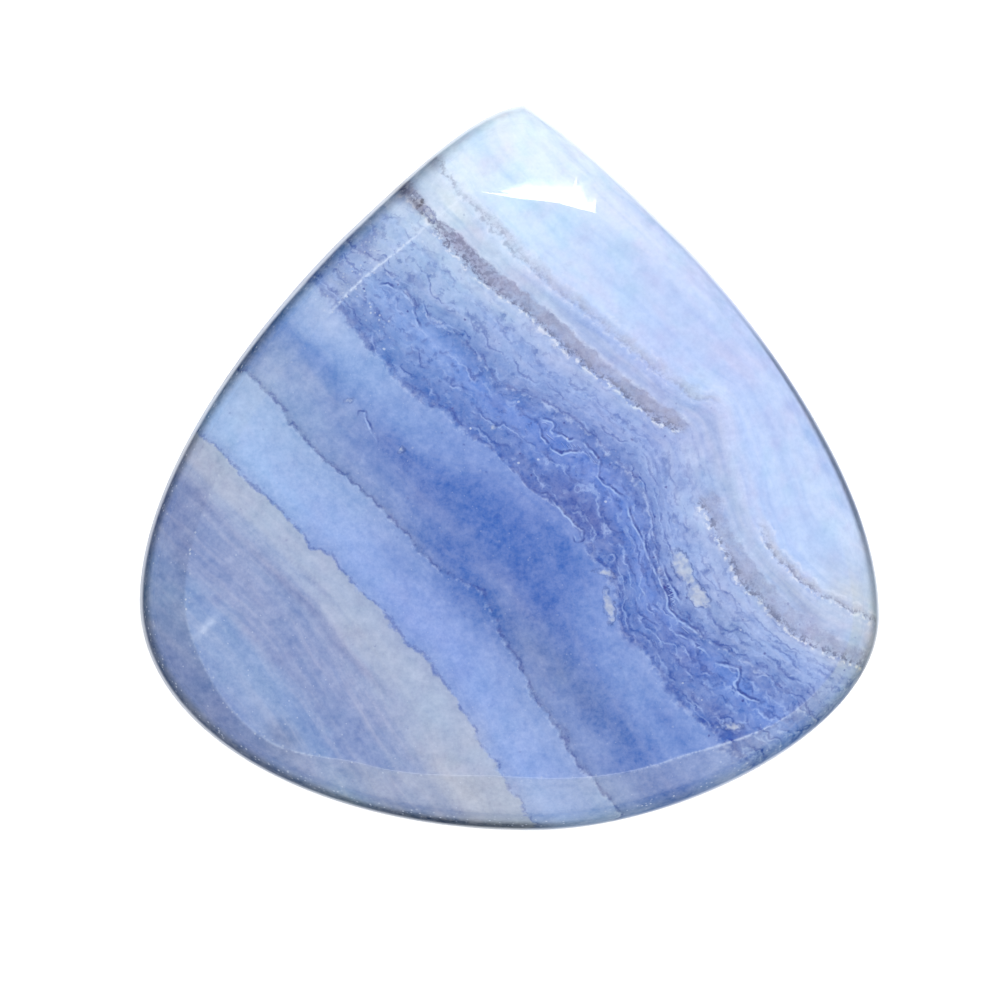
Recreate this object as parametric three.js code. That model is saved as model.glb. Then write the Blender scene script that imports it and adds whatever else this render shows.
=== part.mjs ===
// A blue lace agate cabochon: one polished stone, cut to a broad heart with a single tip and no notch.
// It lies on its flat back with the tip towards +Y. Its face is a low dome, ground down all round by a
// bevel, with a wider facet across the tip. Millimetres, +Z up, the origin under the middle of the stone.
import * as THREE from "three";

// The stone's outer size.
const HALF_WIDTH = 17.5;
const HALF_LENGTH = 17.15;
const THICKNESS = 6.0;

// The outline's corners: the tip, the widest places and the lowest place of the round side.
const TIP = new THREE.Vector2(0.7, HALF_LENGTH);
const LEFT = new THREE.Vector2(-HALF_WIDTH, -6.3);
const RIGHT = new THREE.Vector2(HALF_WIDTH, -7.0);
const BASE = new THREE.Vector2(1.0, -HALF_LENGTH);
// Where the curve of the tip runs into the long flank, on each side.
const LEFT_FLANK = new THREE.Vector2(-7.2, 11.55);
const RIGHT_FLANK = new THREE.Vector2(8.2, 10.6);

// The dome falls this far from its top to the edge, on a three-lobed plan that follows the heart.
const MIDDLE = new THREE.Vector2(TIP.x, -2.0);
const DOME_FALL = 2.0;
const DOME_RADIUS = 16.1;
const DOME_LOBES = 0.15;

// The bevel round the dome: its width at these angles in degrees, anticlockwise from the right, and its
// slope over the dome's own. It is ground widest beside the tip and along the bottom.
const BEVEL_WIDTHS = [
  [0, 1.1], [45, 1.15], [60, 1.3], [75, 1.62], [82, 2.25], [97, 2.3], [110, 2.15], [130, 1.85], [180, 1.9],
  [200, 2.0], [222, 1.15], [238, 1.9], [265, 2.35], [300, 1.9], [325, 1.1], [360, 1.1],
];
const BEVEL_SLOPE = 0.36;

// The facet across the tip: the two ends of its lower edge, and its slope over the dome's own.
const TIP_EDGE_LEFT = new THREE.Vector2(-1.0, 12.9);
const TIP_EDGE_RIGHT = new THREE.Vector2(3.7, 12.15);
const TIP_SLOPE = 0.3;

// How softly the dome turns into the bevel, the rounding over the wall, and the wall itself.
const CREASE_SOFTNESS = 0.12;
const RIM_ROUNDING = 0.8;
const WALL_LEAN = 0.2;
const BACK_CHAMFER = 0.35;

// The mesh: steps round the stone, and rings across its face as shares of the way in from the wall. The
// rings are close together where the face rounds over and at the crease between the bevel and the dome.
const STEPS_ROUND = 128;
const FACE_RINGS = [
  0, 0.004, 0.012, 0.025, 0.045, 0.06, 0.075, 0.09, 0.105, 0.12, 0.135, 0.15, 0.17, 0.195, 0.23, 0.28,
  0.36, 0.5, 0.7, 1,
];
const BACK_RINGS = [0.55, 0.999];
const OUTLINE_SAMPLES = 150;

// Smaller than any size that matters here, to keep a division or a comparison safe.
const TINY = 1e-9;

const AGATE_BLUE = new THREE.Color(0.42, 0.55, 0.86);
const POLISH_ROUGHNESS = 0.12;

// The outline as one closed path of Bezier arcs, from the tip down the left side and back up the right.
function outlinePath() {
  const path = new THREE.Path();
  path.moveTo(TIP.x, TIP.y);
  path.bezierCurveTo(-1.4, 17.0, -4.4, 14.2, LEFT_FLANK.x, LEFT_FLANK.y);
  path.bezierCurveTo(-10.2, 8.8, LEFT.x, 0.6, LEFT.x, LEFT.y);
  path.bezierCurveTo(LEFT.x, -12.5, -9.2, BASE.y, BASE.x, BASE.y);
  path.bezierCurveTo(8.1, BASE.y, RIGHT.x, -12.4, RIGHT.x, RIGHT.y);
  path.bezierCurveTo(RIGHT.x, -0.4, 11.1, 7.6, RIGHT_FLANK.x, RIGHT_FLANK.y);
  path.bezierCurveTo(5.6, 13.2, 2.7, 15.9, TIP.x, TIP.y);
  return path;
}

const OUTLINE = outlinePath().getPoints(OUTLINE_SAMPLES);

// The angle of a point about the stone's middle, from 0 at +X up to a full turn.
function angleOf(point) {
  const angle = Math.atan2(point.y - MIDDLE.y, point.x - MIDDLE.x);
  return angle < 0 ? angle + 2 * Math.PI : angle;
}

// How far the outline lies from the stone's middle at an angle: the ray is cut with each chord.
function outlineRadius(angle) {
  const along = new THREE.Vector2(Math.cos(angle), Math.sin(angle));
  let radius = 0;
  for (let i = 1; i < OUTLINE.length; i++) {
    const from = OUTLINE[i - 1].clone().sub(MIDDLE);
    const chord = OUTLINE[i].clone().sub(OUTLINE[i - 1]);
    const spread = along.cross(chord);
    if (Math.abs(spread) < TINY) continue;
    const share = from.cross(along) / spread;
    const reach = from.cross(chord) / spread;
    if (share > -TINY && share < 1 + TINY && reach > radius) radius = reach;
  }
  return radius;
}

// The distance of a point from the outline.
function distanceFromEdge(point) {
  let nearest = Infinity;
  for (let i = 1; i < OUTLINE.length; i++) {
    const chord = OUTLINE[i].clone().sub(OUTLINE[i - 1]);
    const from = point.clone().sub(OUTLINE[i - 1]);
    const share = THREE.MathUtils.clamp(from.dot(chord) / Math.max(chord.lengthSq(), TINY), 0, 1);
    nearest = Math.min(nearest, from.sub(chord.multiplyScalar(share)).length());
  }
  return nearest;
}

// A ramp from 0 that turns softly into the line y = x.
function softRamp(x) {
  return (x + Math.hypot(x, CREASE_SOFTNESS)) / 2;
}

// The width of the bevel at an angle, eased from one measured width to the next.
function bevelWidth(angle) {
  const degrees = THREE.MathUtils.radToDeg(angle);
  const next = Math.max(1, BEVEL_WIDTHS.findIndex(([at]) => at >= degrees));
  const [low, lowWidth] = BEVEL_WIDTHS[next - 1];
  const [high, highWidth] = BEVEL_WIDTHS[next];
  return THREE.MathUtils.lerp(lowWidth, highWidth, THREE.MathUtils.smoothstep(degrees, low, high));
}

// The height of the polished face over the flat back.
function faceHeight(point) {
  const angle = angleOf(point);
  const share = point.distanceTo(MIDDLE) / DOME_RADIUS;
  const lobes = DOME_LOBES * share ** 3 * Math.cos(3 * (angle - Math.PI / 2));
  const dome = THICKNESS - DOME_FALL * (share ** 2 - lobes);

  const inward = Math.max(distanceFromEdge(point) - WALL_LEAN, 0);
  const bevel = BEVEL_SLOPE * softRamp(bevelWidth(angle) - inward);

  const tipEdge = TIP_EDGE_LEFT.clone().sub(TIP_EDGE_RIGHT).normalize();
  const beyond = point.clone().sub(TIP_EDGE_RIGHT).cross(tipEdge);
  const tipFacet = TIP_SLOPE * softRamp(beyond);

  const short = Math.max(RIM_ROUNDING - inward, 0);
  const rounding = RIM_ROUNDING - Math.sqrt(RIM_ROUNDING ** 2 - short ** 2);
  return dome - Math.max(bevel, tipFacet) - rounding;
}

// The stone's section is turned on a lathe to a disc of radius 1, and each ring is then drawn out to the
// heart's outline. The back's outer ring is drawn in by the chamfer, and the face's by the wall's lean. The
// section marks the face with the full thickness, and each of its vertices takes its own height.
function stoneGeometry() {
  const section = [
    new THREE.Vector2(0, 0),
    ...BACK_RINGS.map((ring) => new THREE.Vector2(ring, 0)),
    new THREE.Vector2(1, BACK_CHAMFER),
    ...FACE_RINGS.map((ring) => new THREE.Vector2(1 - ring, THICKNESS)),
  ];
  const geometry = new THREE.LatheGeometry(section, STEPS_ROUND);
  geometry.rotateX(Math.PI / 2);
  const places = geometry.getAttribute("position");
  for (let i = 0; i < places.count; i++) {
    const disc = new THREE.Vector2(places.getX(i), places.getY(i));
    const level = places.getZ(i);
    const share = disc.length();
    const radius = share > 0 ? outlineRadius(disc.angle()) : 0;
    const onBack = level < BACK_CHAMFER / 2;
    const onFace = level > THICKNESS / 2;
    let inset = 0;
    if (onBack) inset = BACK_CHAMFER;
    if (onFace) inset = WALL_LEAN;
    const point = disc.setLength(share * (radius - inset)).add(MIDDLE);
    const height = onFace ? faceHeight(point) : level;
    places.setXYZ(i, point.x, point.y, height);
  }
  geometry.computeVertexNormals();
  return geometry;
}

const agate = new THREE.Mesh(
  stoneGeometry(),
  new THREE.MeshStandardMaterial({ color: AGATE_BLUE, roughness: POLISH_ROUGHNESS, metalness: 0 }),
);
agate.name = "agate_heart";

const part = new THREE.Group();
part.add(agate);

export default part;
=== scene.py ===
"""A blue lace agate heart: a polished cabochon that lies on a pale floor, seen from straight above.

The stone is one closed surface, worked out from its outline and the height of its face. Its bands follow
seams drawn across the stone, and everything finer than a seam comes from noise in the material.
Lengths are metres, and those whose names end in _MM are millimetres.
"""

import math
from itertools import pairwise

import bpy
import numpy as np
from bpy.props import FloatProperty, FloatVectorProperty, PointerProperty
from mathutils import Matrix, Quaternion, Vector


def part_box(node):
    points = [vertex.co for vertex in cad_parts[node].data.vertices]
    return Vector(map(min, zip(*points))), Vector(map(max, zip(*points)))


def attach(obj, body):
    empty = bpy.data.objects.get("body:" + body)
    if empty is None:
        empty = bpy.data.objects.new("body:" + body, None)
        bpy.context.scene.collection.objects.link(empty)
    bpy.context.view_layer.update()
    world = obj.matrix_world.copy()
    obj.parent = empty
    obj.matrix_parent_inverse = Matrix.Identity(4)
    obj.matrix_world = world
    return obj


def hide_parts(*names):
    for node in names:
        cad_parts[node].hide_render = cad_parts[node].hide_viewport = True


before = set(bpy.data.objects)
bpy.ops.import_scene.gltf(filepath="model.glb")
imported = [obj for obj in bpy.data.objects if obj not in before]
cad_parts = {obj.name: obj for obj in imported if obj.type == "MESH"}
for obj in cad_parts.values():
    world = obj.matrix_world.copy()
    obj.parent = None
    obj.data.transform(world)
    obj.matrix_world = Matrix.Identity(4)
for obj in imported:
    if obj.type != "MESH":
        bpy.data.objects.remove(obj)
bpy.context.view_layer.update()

bl_info = {
    "name": "Blue lace agate heart",
    "version": (1, 0, 0),
    "blender": (4, 5, 0),
    "location": "View3D > Sidebar > Agate",
    "description": "Cuts a banded agate heart and sets it on a pale floor under soft light",
    "category": "Add Mesh",
}

MM = 0.001
STONE_NODE = "agate_heart"
STONE_LOW, STONE_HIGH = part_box(STONE_NODE)

# How bright the stage lights a level face, and what the gloss adds to it.
STAGE_LIGHT = 1.84
GLOSS_LIGHT = 0.05


def seen(red, green, blue):
    """The stone's own colour where it is to look like a screen colour with channels from 0 to 255: the
    linear colour, less what the gloss adds, over the brightness of the light."""
    shares = (channel / 255 for channel in (red, green, blue))
    linear = (s / 12.92 if s <= 0.04045 else ((s + 0.055) / 1.055) ** 2.4 for s in shares)
    return tuple(max(light - GLOSS_LIGHT, 0.004) / STAGE_LIGHT for light in linear)


# The outline's corners on the stone, and where the curve of the tip runs into each flank.
HALF_WIDTH_MM = (STONE_HIGH.x - STONE_LOW.x) / 2 / MM
HALF_LENGTH_MM = (STONE_HIGH.y - STONE_LOW.y) / 2 / MM
TIP_MM = (0.7, HALF_LENGTH_MM)
LEFT_MM = (-HALF_WIDTH_MM, -6.3)
RIGHT_MM = (HALF_WIDTH_MM, -7.0)
BASE_MM = (1.0, -HALF_LENGTH_MM)
LEFT_FLANK_MM = (-7.2, 11.55)
RIGHT_FLANK_MM = (8.2, 10.6)

# The outline as cubic arcs, anticlockwise: start, two handles and end.
OUTLINE_ARCS_MM = (
    (TIP_MM, (-1.4, 17.0), (-4.4, 14.2), LEFT_FLANK_MM),
    (LEFT_FLANK_MM, (-10.2, 8.8), (LEFT_MM[0], 0.6), LEFT_MM),
    (LEFT_MM, (LEFT_MM[0], -12.5), (-9.2, BASE_MM[1]), BASE_MM),
    (BASE_MM, (8.1, BASE_MM[1]), (RIGHT_MM[0], -12.4), RIGHT_MM),
    (RIGHT_MM, (RIGHT_MM[0], -0.4), (11.1, 7.6), RIGHT_FLANK_MM),
    (RIGHT_FLANK_MM, (5.6, 13.2), (2.7, 15.9), TIP_MM),
)
MIDDLE_MM = (TIP_MM[0], -2.0)

# The face: how far the dome spreads and how much it follows the heart, and the facet across the tip.
DOME_RADIUS_MM = 16.1
DOME_LOBES = 0.15
TIP_EDGE_LEFT_MM = (-1.0, 12.9)
TIP_EDGE_RIGHT_MM = (3.7, 12.15)
TIP_SLOPE = 0.3
RIM_ROUNDING_MM = 0.8
WALL_LEAN_MM = 0.2
BACK_CHAMFER_MM = 0.35

# The width of the bevel at angles in degrees about the stone's middle, anticlockwise from the right.
BEVEL_WIDTHS_MM = (
    (0, 1.1), (45, 1.15), (60, 1.3), (75, 1.62), (82, 2.25), (97, 2.3), (110, 2.15), (130, 1.85),
    (180, 1.9), (200, 2.0), (222, 1.15), (238, 1.9), (265, 2.35), (300, 1.9), (325, 1.1), (360, 1.1),
)

# The painted shade at the rim, at angles in degrees: how much darker than the stone it makes it, and over
# how many millimetres that fades inwards from the rim's line.
RIM_PAINTED_SHADES = (
    (0, 0.7, 0.22), (15, 0.65, 0.2), (30, 0.55, 0.08), (45, 0.05, 0.1), (60, 0.12, 0.2), (75, 0.0, 0.2),
    (88, 0.0, 0.3), (96, 0.2, 0.4), (105, 0.44, 0.6), (120, 0.62, 0.6), (135, 0.64, 0.6), (150, 0.72, 0.55),
    (165, 0.65, 0.45), (180, 0.64, 0.38), (195, 0.57, 0.4), (210, 0.55, 0.5), (225, 0.56, 0.4),
    (240, 0.62, 0.26), (255, 0.8, 0.28), (270, 0.78, 0.3), (280, 0.3, 0.2), (288, 0.0, 0.2),
    (300, 0.14, 0.3), (315, 0.08, 0.4), (330, 0.26, 0.32), (345, 0.4, 0.34), (360, 0.7, 0.22),
)
RIM_LINE_MM = 0.22

# How pale the ground wall is at its foot, and the back, and over how many millimetres of the wall's lean
# that fades in.
FROSTING = 0.6
BACK_FROSTING = 0.35
WALL_FADE_MM = 0.16

# How far in from the stone's outline the frost of the wall begins all round, at angles in degrees.
FROST_STARTS = (
    (0, 0.13), (15, 0.15), (30, 0.13), (45, 0.17), (60, 0.21), (105, 0.2), (120, 0.26), (135, 0.29),
    (150, 0.25), (165, 0.24), (180, 0.22), (210, 0.21), (225, 0.16), (255, 0.14), (272, 0.15), (285, 0.11),
    (300, 0.15), (315, 0.18), (330, 0.1), (345, 0.17), (360, 0.12),
)

# How strong the painted shade on the bevel is all round, at angles in degrees: it lies on the left and lower
# sides.
BEVEL_PAINTED_SHADES = (
    (0, 0.0), (168, 0.0), (177, 0.5), (186, 0.4), (200, 0.68), (210, 0.6), (220, 0.7), (230, 0.85),
    (236, 0.35), (240, 0.0), (246, 0.2), (254, 0.42), (266, 0.4), (275, 0.1), (285, 0.0), (292, 0.1),
    (299, 0.5), (306, 0.5), (313, 0.0), (330, 0.0), (360, 0.0),
)

# How strongly the bevel and the rim are painted greyer and less blue all round, at angles in degrees, as a
# painted sheen on the bevel and painted shade at the rim, how much of that lies on all the bevel, and over
# how many millimetres from the rim's line the rest of it thins out.
GREYING_ALL_ROUND = ((0, 0.0), (172, 0.1), (185, 0.3), (198, 0.8), (338, 0.8), (350, 0.3), (360, 0.0))
GREYING_ON_BEVEL = 0.45
GREYING_REACH_MM = 0.6

# How strong the painted highlight along the crease of the bevel is all round, a pale line, and its half
# width.
CREASE_HIGHLIGHTS = (
    (0, 0.0), (106, 0.0), (112, 1.0), (131, 1.0), (137, 0.0), (190, 0.0), (200, 0.3), (218, 0.2),
    (226, 0.5), (234, 0.1), (262, 0.05), (288, 0.1), (302, 0.4), (318, 0.6), (326, 0.0), (360, 0.0),
)
CREASE_HIGHLIGHT_MM = 0.07
# Over how many millimetres across the crease the painted shades of the bevel set in.
CREASE_STEP_MM = 0.12

# How worn the crease of the bevel and the rim are all round, at angles in degrees; on the crease this is
# partly painted glints. The wear of the crease has a reach to either side of it, and that of the rim a line
# inside the edge and a reach.
CREASE_WEAR_AND_GLINTS = (
    (0, 0.0), (108, 0.2), (114, 0.9), (132, 1.0), (142, 0.3), (160, 0.1), (195, 1.0), (225, 0.6), (300, 0.3),
    (330, 0.0),
)
CREASE_WEAR_AND_GLINT_REACH_MM = 0.2
RIM_WEAR_LINE_MM = 0.4
RIM_WEAR_REACH_MM = 0.22
RIM_WEAR = ((0, 0.1), (60, 0.0), (100, 0.2), (135, 0.3), (170, 0.9), (300, 0.9), (330, 0.4), (360, 0.1))

# The steps round the stone and how much closer they are at the tip, the steps on each arc of its outline,
# and over how many steps round the stone the outline's slant is eased.
STEPS_ROUND = 640
TIP_CROWDING = 0.35
ARC_STEPS = 80
SLANT_EASE = 10

# The steps in each stretch of the stone's section, from the rim inwards and then down, how they crowd
# towards the wall on the rim, and how far the crease's and the shoulder's stretches reach.
RIM_STEPS = 12
RIM_CROWDING = 1.8
BEVEL_STEPS = 6
CREASE_STEPS = 14
CREASE_REACH_MM = 0.25
SHOULDER_STEPS = 14
SHOULDER_REACH_MM = 2.5
DOME_STEPS = 84
WALL_STEPS = 5
BACK_STEPS = 6
# How many of the rim's steps are ground and not polished.
MATT_STEPS = 10

# How many points are compared with the whole outline at once, and a distance longer than any that counts.
POINTS_AT_ONCE = 2000
FAR_MM = 10.0

# The seams between layers, from the lower left of the stone to the upper right: how far up the growth
# each lies, and the points that it runs through.
SEAMS_MM = {
    "chalk foot": (-11.8, (
        (-16.3, 0.6), (-14.4, -1.3), (-13.1, -2.5), (-11.7, -3.8), (-10.3, -5.1), (-9.1, -6.4),
        (-8.0, -8.0), (-7.0, -9.5), (-6.0, -11.0), (-5.0, -12.7), (-2.8, -15.7), (-1.9, -17.1),
    )),
    "chalk top": (-9.6, (
        (-15.1, 2.0), (-13.6, 0.8), (-12.5, -0.5), (-11.6, -1.4), (-9.9, -3.0), (-9.3, -3.8), (-8.4, -4.0),
        (-8.0, -4.8), (-6.7, -6.2), (-5.7, -7.1), (-4.9, -8.3), (-4.0, -8.8), (-2.8, -10.4), (-2.2, -11.7),
        (-1.4, -12.9), (-0.5, -14.2), (1.0, -16.7),
    )),
    "grey foot": (-6.2, (
        (-13.5, 4.8), (-12.4, 4.4), (-11.2, 3.2), (-10.6, 2.3), (-9.1, 0.6), (-7.9, -0.3), (-6.2, -1.8),
        (-5.3, -2.8), (-4.0, -4.2), (-3.0, -5.0), (-1.3, -5.9), (-0.8, -6.9), (-0.4, -8.0), (0.8, -10.0),
        (0.9, -10.6), (1.8, -11.7), (3.3, -14.1), (5.5, -16.7),
    )),
    "pool foot": (-4.5, (
        (-11.6, 6.5), (-9.9, 4.5), (-8.5, 2.8), (-5.4, -0.3), (-2.8, -3.2), (-0.9, -4.4), (0.5, -5.8),
        (1.7, -7.4), (2.6, -9.6), (4.8, -13.1), (6.2, -15.3),
    )),
    "pool top": (-2.4, (
        (-10.4, 7.1), (-7.8, 4.5), (-5.3, 1.7), (-4.0, 0.6), (-2.6, 0.1), (-0.4, -0.3), (1.4, -2.0),
        (2.6, -3.6), (3.3, -6.3), (4.3, -8.9), (5.7, -11.0), (8.5, -14.8),
    )),
    "lace foot": (-0.8, (
        (-9.9, 9.0), (-8.2, 7.8), (-7.8, 7.2), (-6.4, 5.6), (-5.4, 4.3), (-4.0, 3.3), (-2.6, 2.4),
        (-2.2, 1.8), (-0.8, 0.9), (0.9, -1.0), (2.2, -1.8), (2.9, -2.5), (3.4, -3.2), (3.7, -4.0),
        (4.5, -4.5), (5.0, -5.5), (5.3, -7.8), (6.3, -8.4), (6.9, -9.6), (8.5, -11.6), (11.2, -13.8),
    )),
    "lace top": (2.2, (
        (-7.8, 10.8), (-5.2, 8.7), (-4.2, 7.5), (-1.9, 5.8), (-0.4, 3.9), (1.4, 3.2), (2.9, 2.3),
        (5.5, 0.1), (6.2, -0.8), (6.7, -2.5), (7.1, -4.8), (7.8, -6.7), (9.3, -8.1), (11.4, -9.2),
        (14.5, -11.9),
    )),
    "thread": (4.0, (
        (-6.6, 12.5), (-4.7, 10.6), (-3.1, 9.1), (-2.7, 8.4), (-1.6, 7.8), (1.2, 5.0), (3.1, 3.8),
        (6.4, 1.3), (6.9, 0.8), (7.6, -2.0), (8.0, -3.4), (9.7, -5.9), (12.7, -8.4), (13.8, -9.3),
        (16.1, -10.5),
    )),
    "mauve foot": (5.3, (
        (-5.4, 13.4), (-4.5, 12.6), (-2.7, 10.2), (-1.6, 9.1), (-0.4, 8.1), (0.7, 7.4), (1.7, 6.4),
        (4.5, 4.1), (6.9, 2.2), (8.3, 1.7), (8.55, 0.9), (8.8, -1.3), (9.7, -3.1), (10.9, -5.4),
        (12.2, -6.8), (13.05, -7.7), (13.95, -8.15), (15.3, -8.85), (17.3, -9.6),
    )),
    "mauve top": (6.05, (
        (-4.9, 14.1), (-3.3, 12.0), (-2.6, 11.4), (-1.4, 10.0), (1.0, 8.1), (3.8, 5.6), (6.7, 3.3),
        (8.1, 2.5), (8.8, 1.7), (9.5, -1.0), (10.35, -2.9), (11.5, -4.6), (13.0, -6.25), (14.5, -7.5),
        (17.0, -8.7),
    )),
    "rose foot": (7.3, (
        (-4.0, 15.0), (-2.1, 12.7), (0.3, 10.0), (3.1, 7.6), (6.2, 5.2), (8.6, 3.2), (9.6, 3.2),
        (10.3, 2.7), (10.7, 1.3), (11.6, -2.5), (12.6, -4.4), (14.5, -6.0), (17.5, -7.3),
    )),
    "open sky": (9.2, (
        (-1.9, 16.5), (-0.4, 14.1), (3.8, 9.8), (8.5, 5.8), (10.9, 3.9), (12.1, 1.8), (13.8, -2.9),
        (15.2, -4.6), (17.1, -5.8),
    )),
}

# The seams are read off this far to either side of the middle and in these steps, eased by a bell curve of
# this width that is cut off after so many steps, and kept apart by this gap.
SEAM_REACH_MM = 27.0
SEAM_STEP_MM = 0.05
SEAM_EASE_MM = 0.1
SEAM_EASE_STEPS = 12
SEAM_GAP_MM = 0.1

# How far the layers lean as they go down into the stone, across and along the bands.
LEAN_ACROSS = 0.35
LEAN_ALONG = -0.12

# Threads of the lace that are drawn out one by one: each is pale, with a dark one on its left-hand side.
THREADS_MM = {
    "long curl": (
        (1.36, 2.43), (1.92, 2.2), (2.14, 2.0), (1.96, 1.74), (2.19, 1.58), (2.47, 1.5), (2.8, 1.3),
        (3.1, 1.36), (3.4, 1.24), (3.6, 1.05), (4.05, 0.62), (4.27, 0.3), (4.2, -0.1), (4.17, -0.42),
        (4.4, -0.68), (5.0, -1.16), (5.33, -1.38), (5.58, -1.68), (5.63, -2.15), (6.0, -3.0), (6.34, -3.5),
        (6.5, -4.04), (6.8, -4.67), (7.4, -5.9), (7.5, -6.62), (7.86, -7.05), (8.6, -7.55), (8.9, -7.92),
        (9.1, -8.3),
    ),
    "inner curl": (
        (1.5, 1.9), (1.52, 1.45), (1.76, 1.15), (2.1, 0.85), (2.47, 0.65), (2.87, 0.78), (3.26, 0.73),
        (3.6, 0.5), (3.75, 0.2),
    ),
    "upper curl": (
        (-6.2, 8.55), (-5.74, 8.63), (-4.95, 8.23), (-4.48, 7.8), (-4.51, 7.33), (-4.2, 6.46),
    ),
    "low curl": (
        (9.6, -9.15), (10.3, -9.3), (10.85, -9.48), (10.9, -9.83), (10.64, -10.17), (10.75, -10.52),
        (11.2, -10.8), (11.9, -11.1),
    ),
    "low bow": (
        (7.7, -7.75), (8.15, -7.9), (8.6, -8.1), (8.8, -8.5), (8.82, -9.05),
    ),
    "chip's fellow": (
        (7.2, -4.6), (7.45, -5.2), (7.7, -5.7), (8.0, -6.2), (8.4, -6.55),
    ),
    "small hook": (
        (-7.15, 2.3), (-7.0, 2.62), (-6.8, 2.6), (-6.72, 2.25), (-6.45, 1.75), (-6.3, 1.5), (-6.2, 1.15),
    ),
    "loop at the seam": (
        (0.9, -1.0), (1.45, -1.3), (1.76, -1.2), (2.0, -1.5), (2.6, -2.2), (2.95, -2.6), (3.45, -2.98),
        (3.42, -3.35), (3.15, -3.45), (2.95, -3.1),
    ),
}
# Over how much of its length a thread fades in at each end, and how far from it it begins to fade and is
# gone.
THREAD_TAPER_MM = 0.4
THREAD_REACH_MM = (0.25, 0.5)

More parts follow.
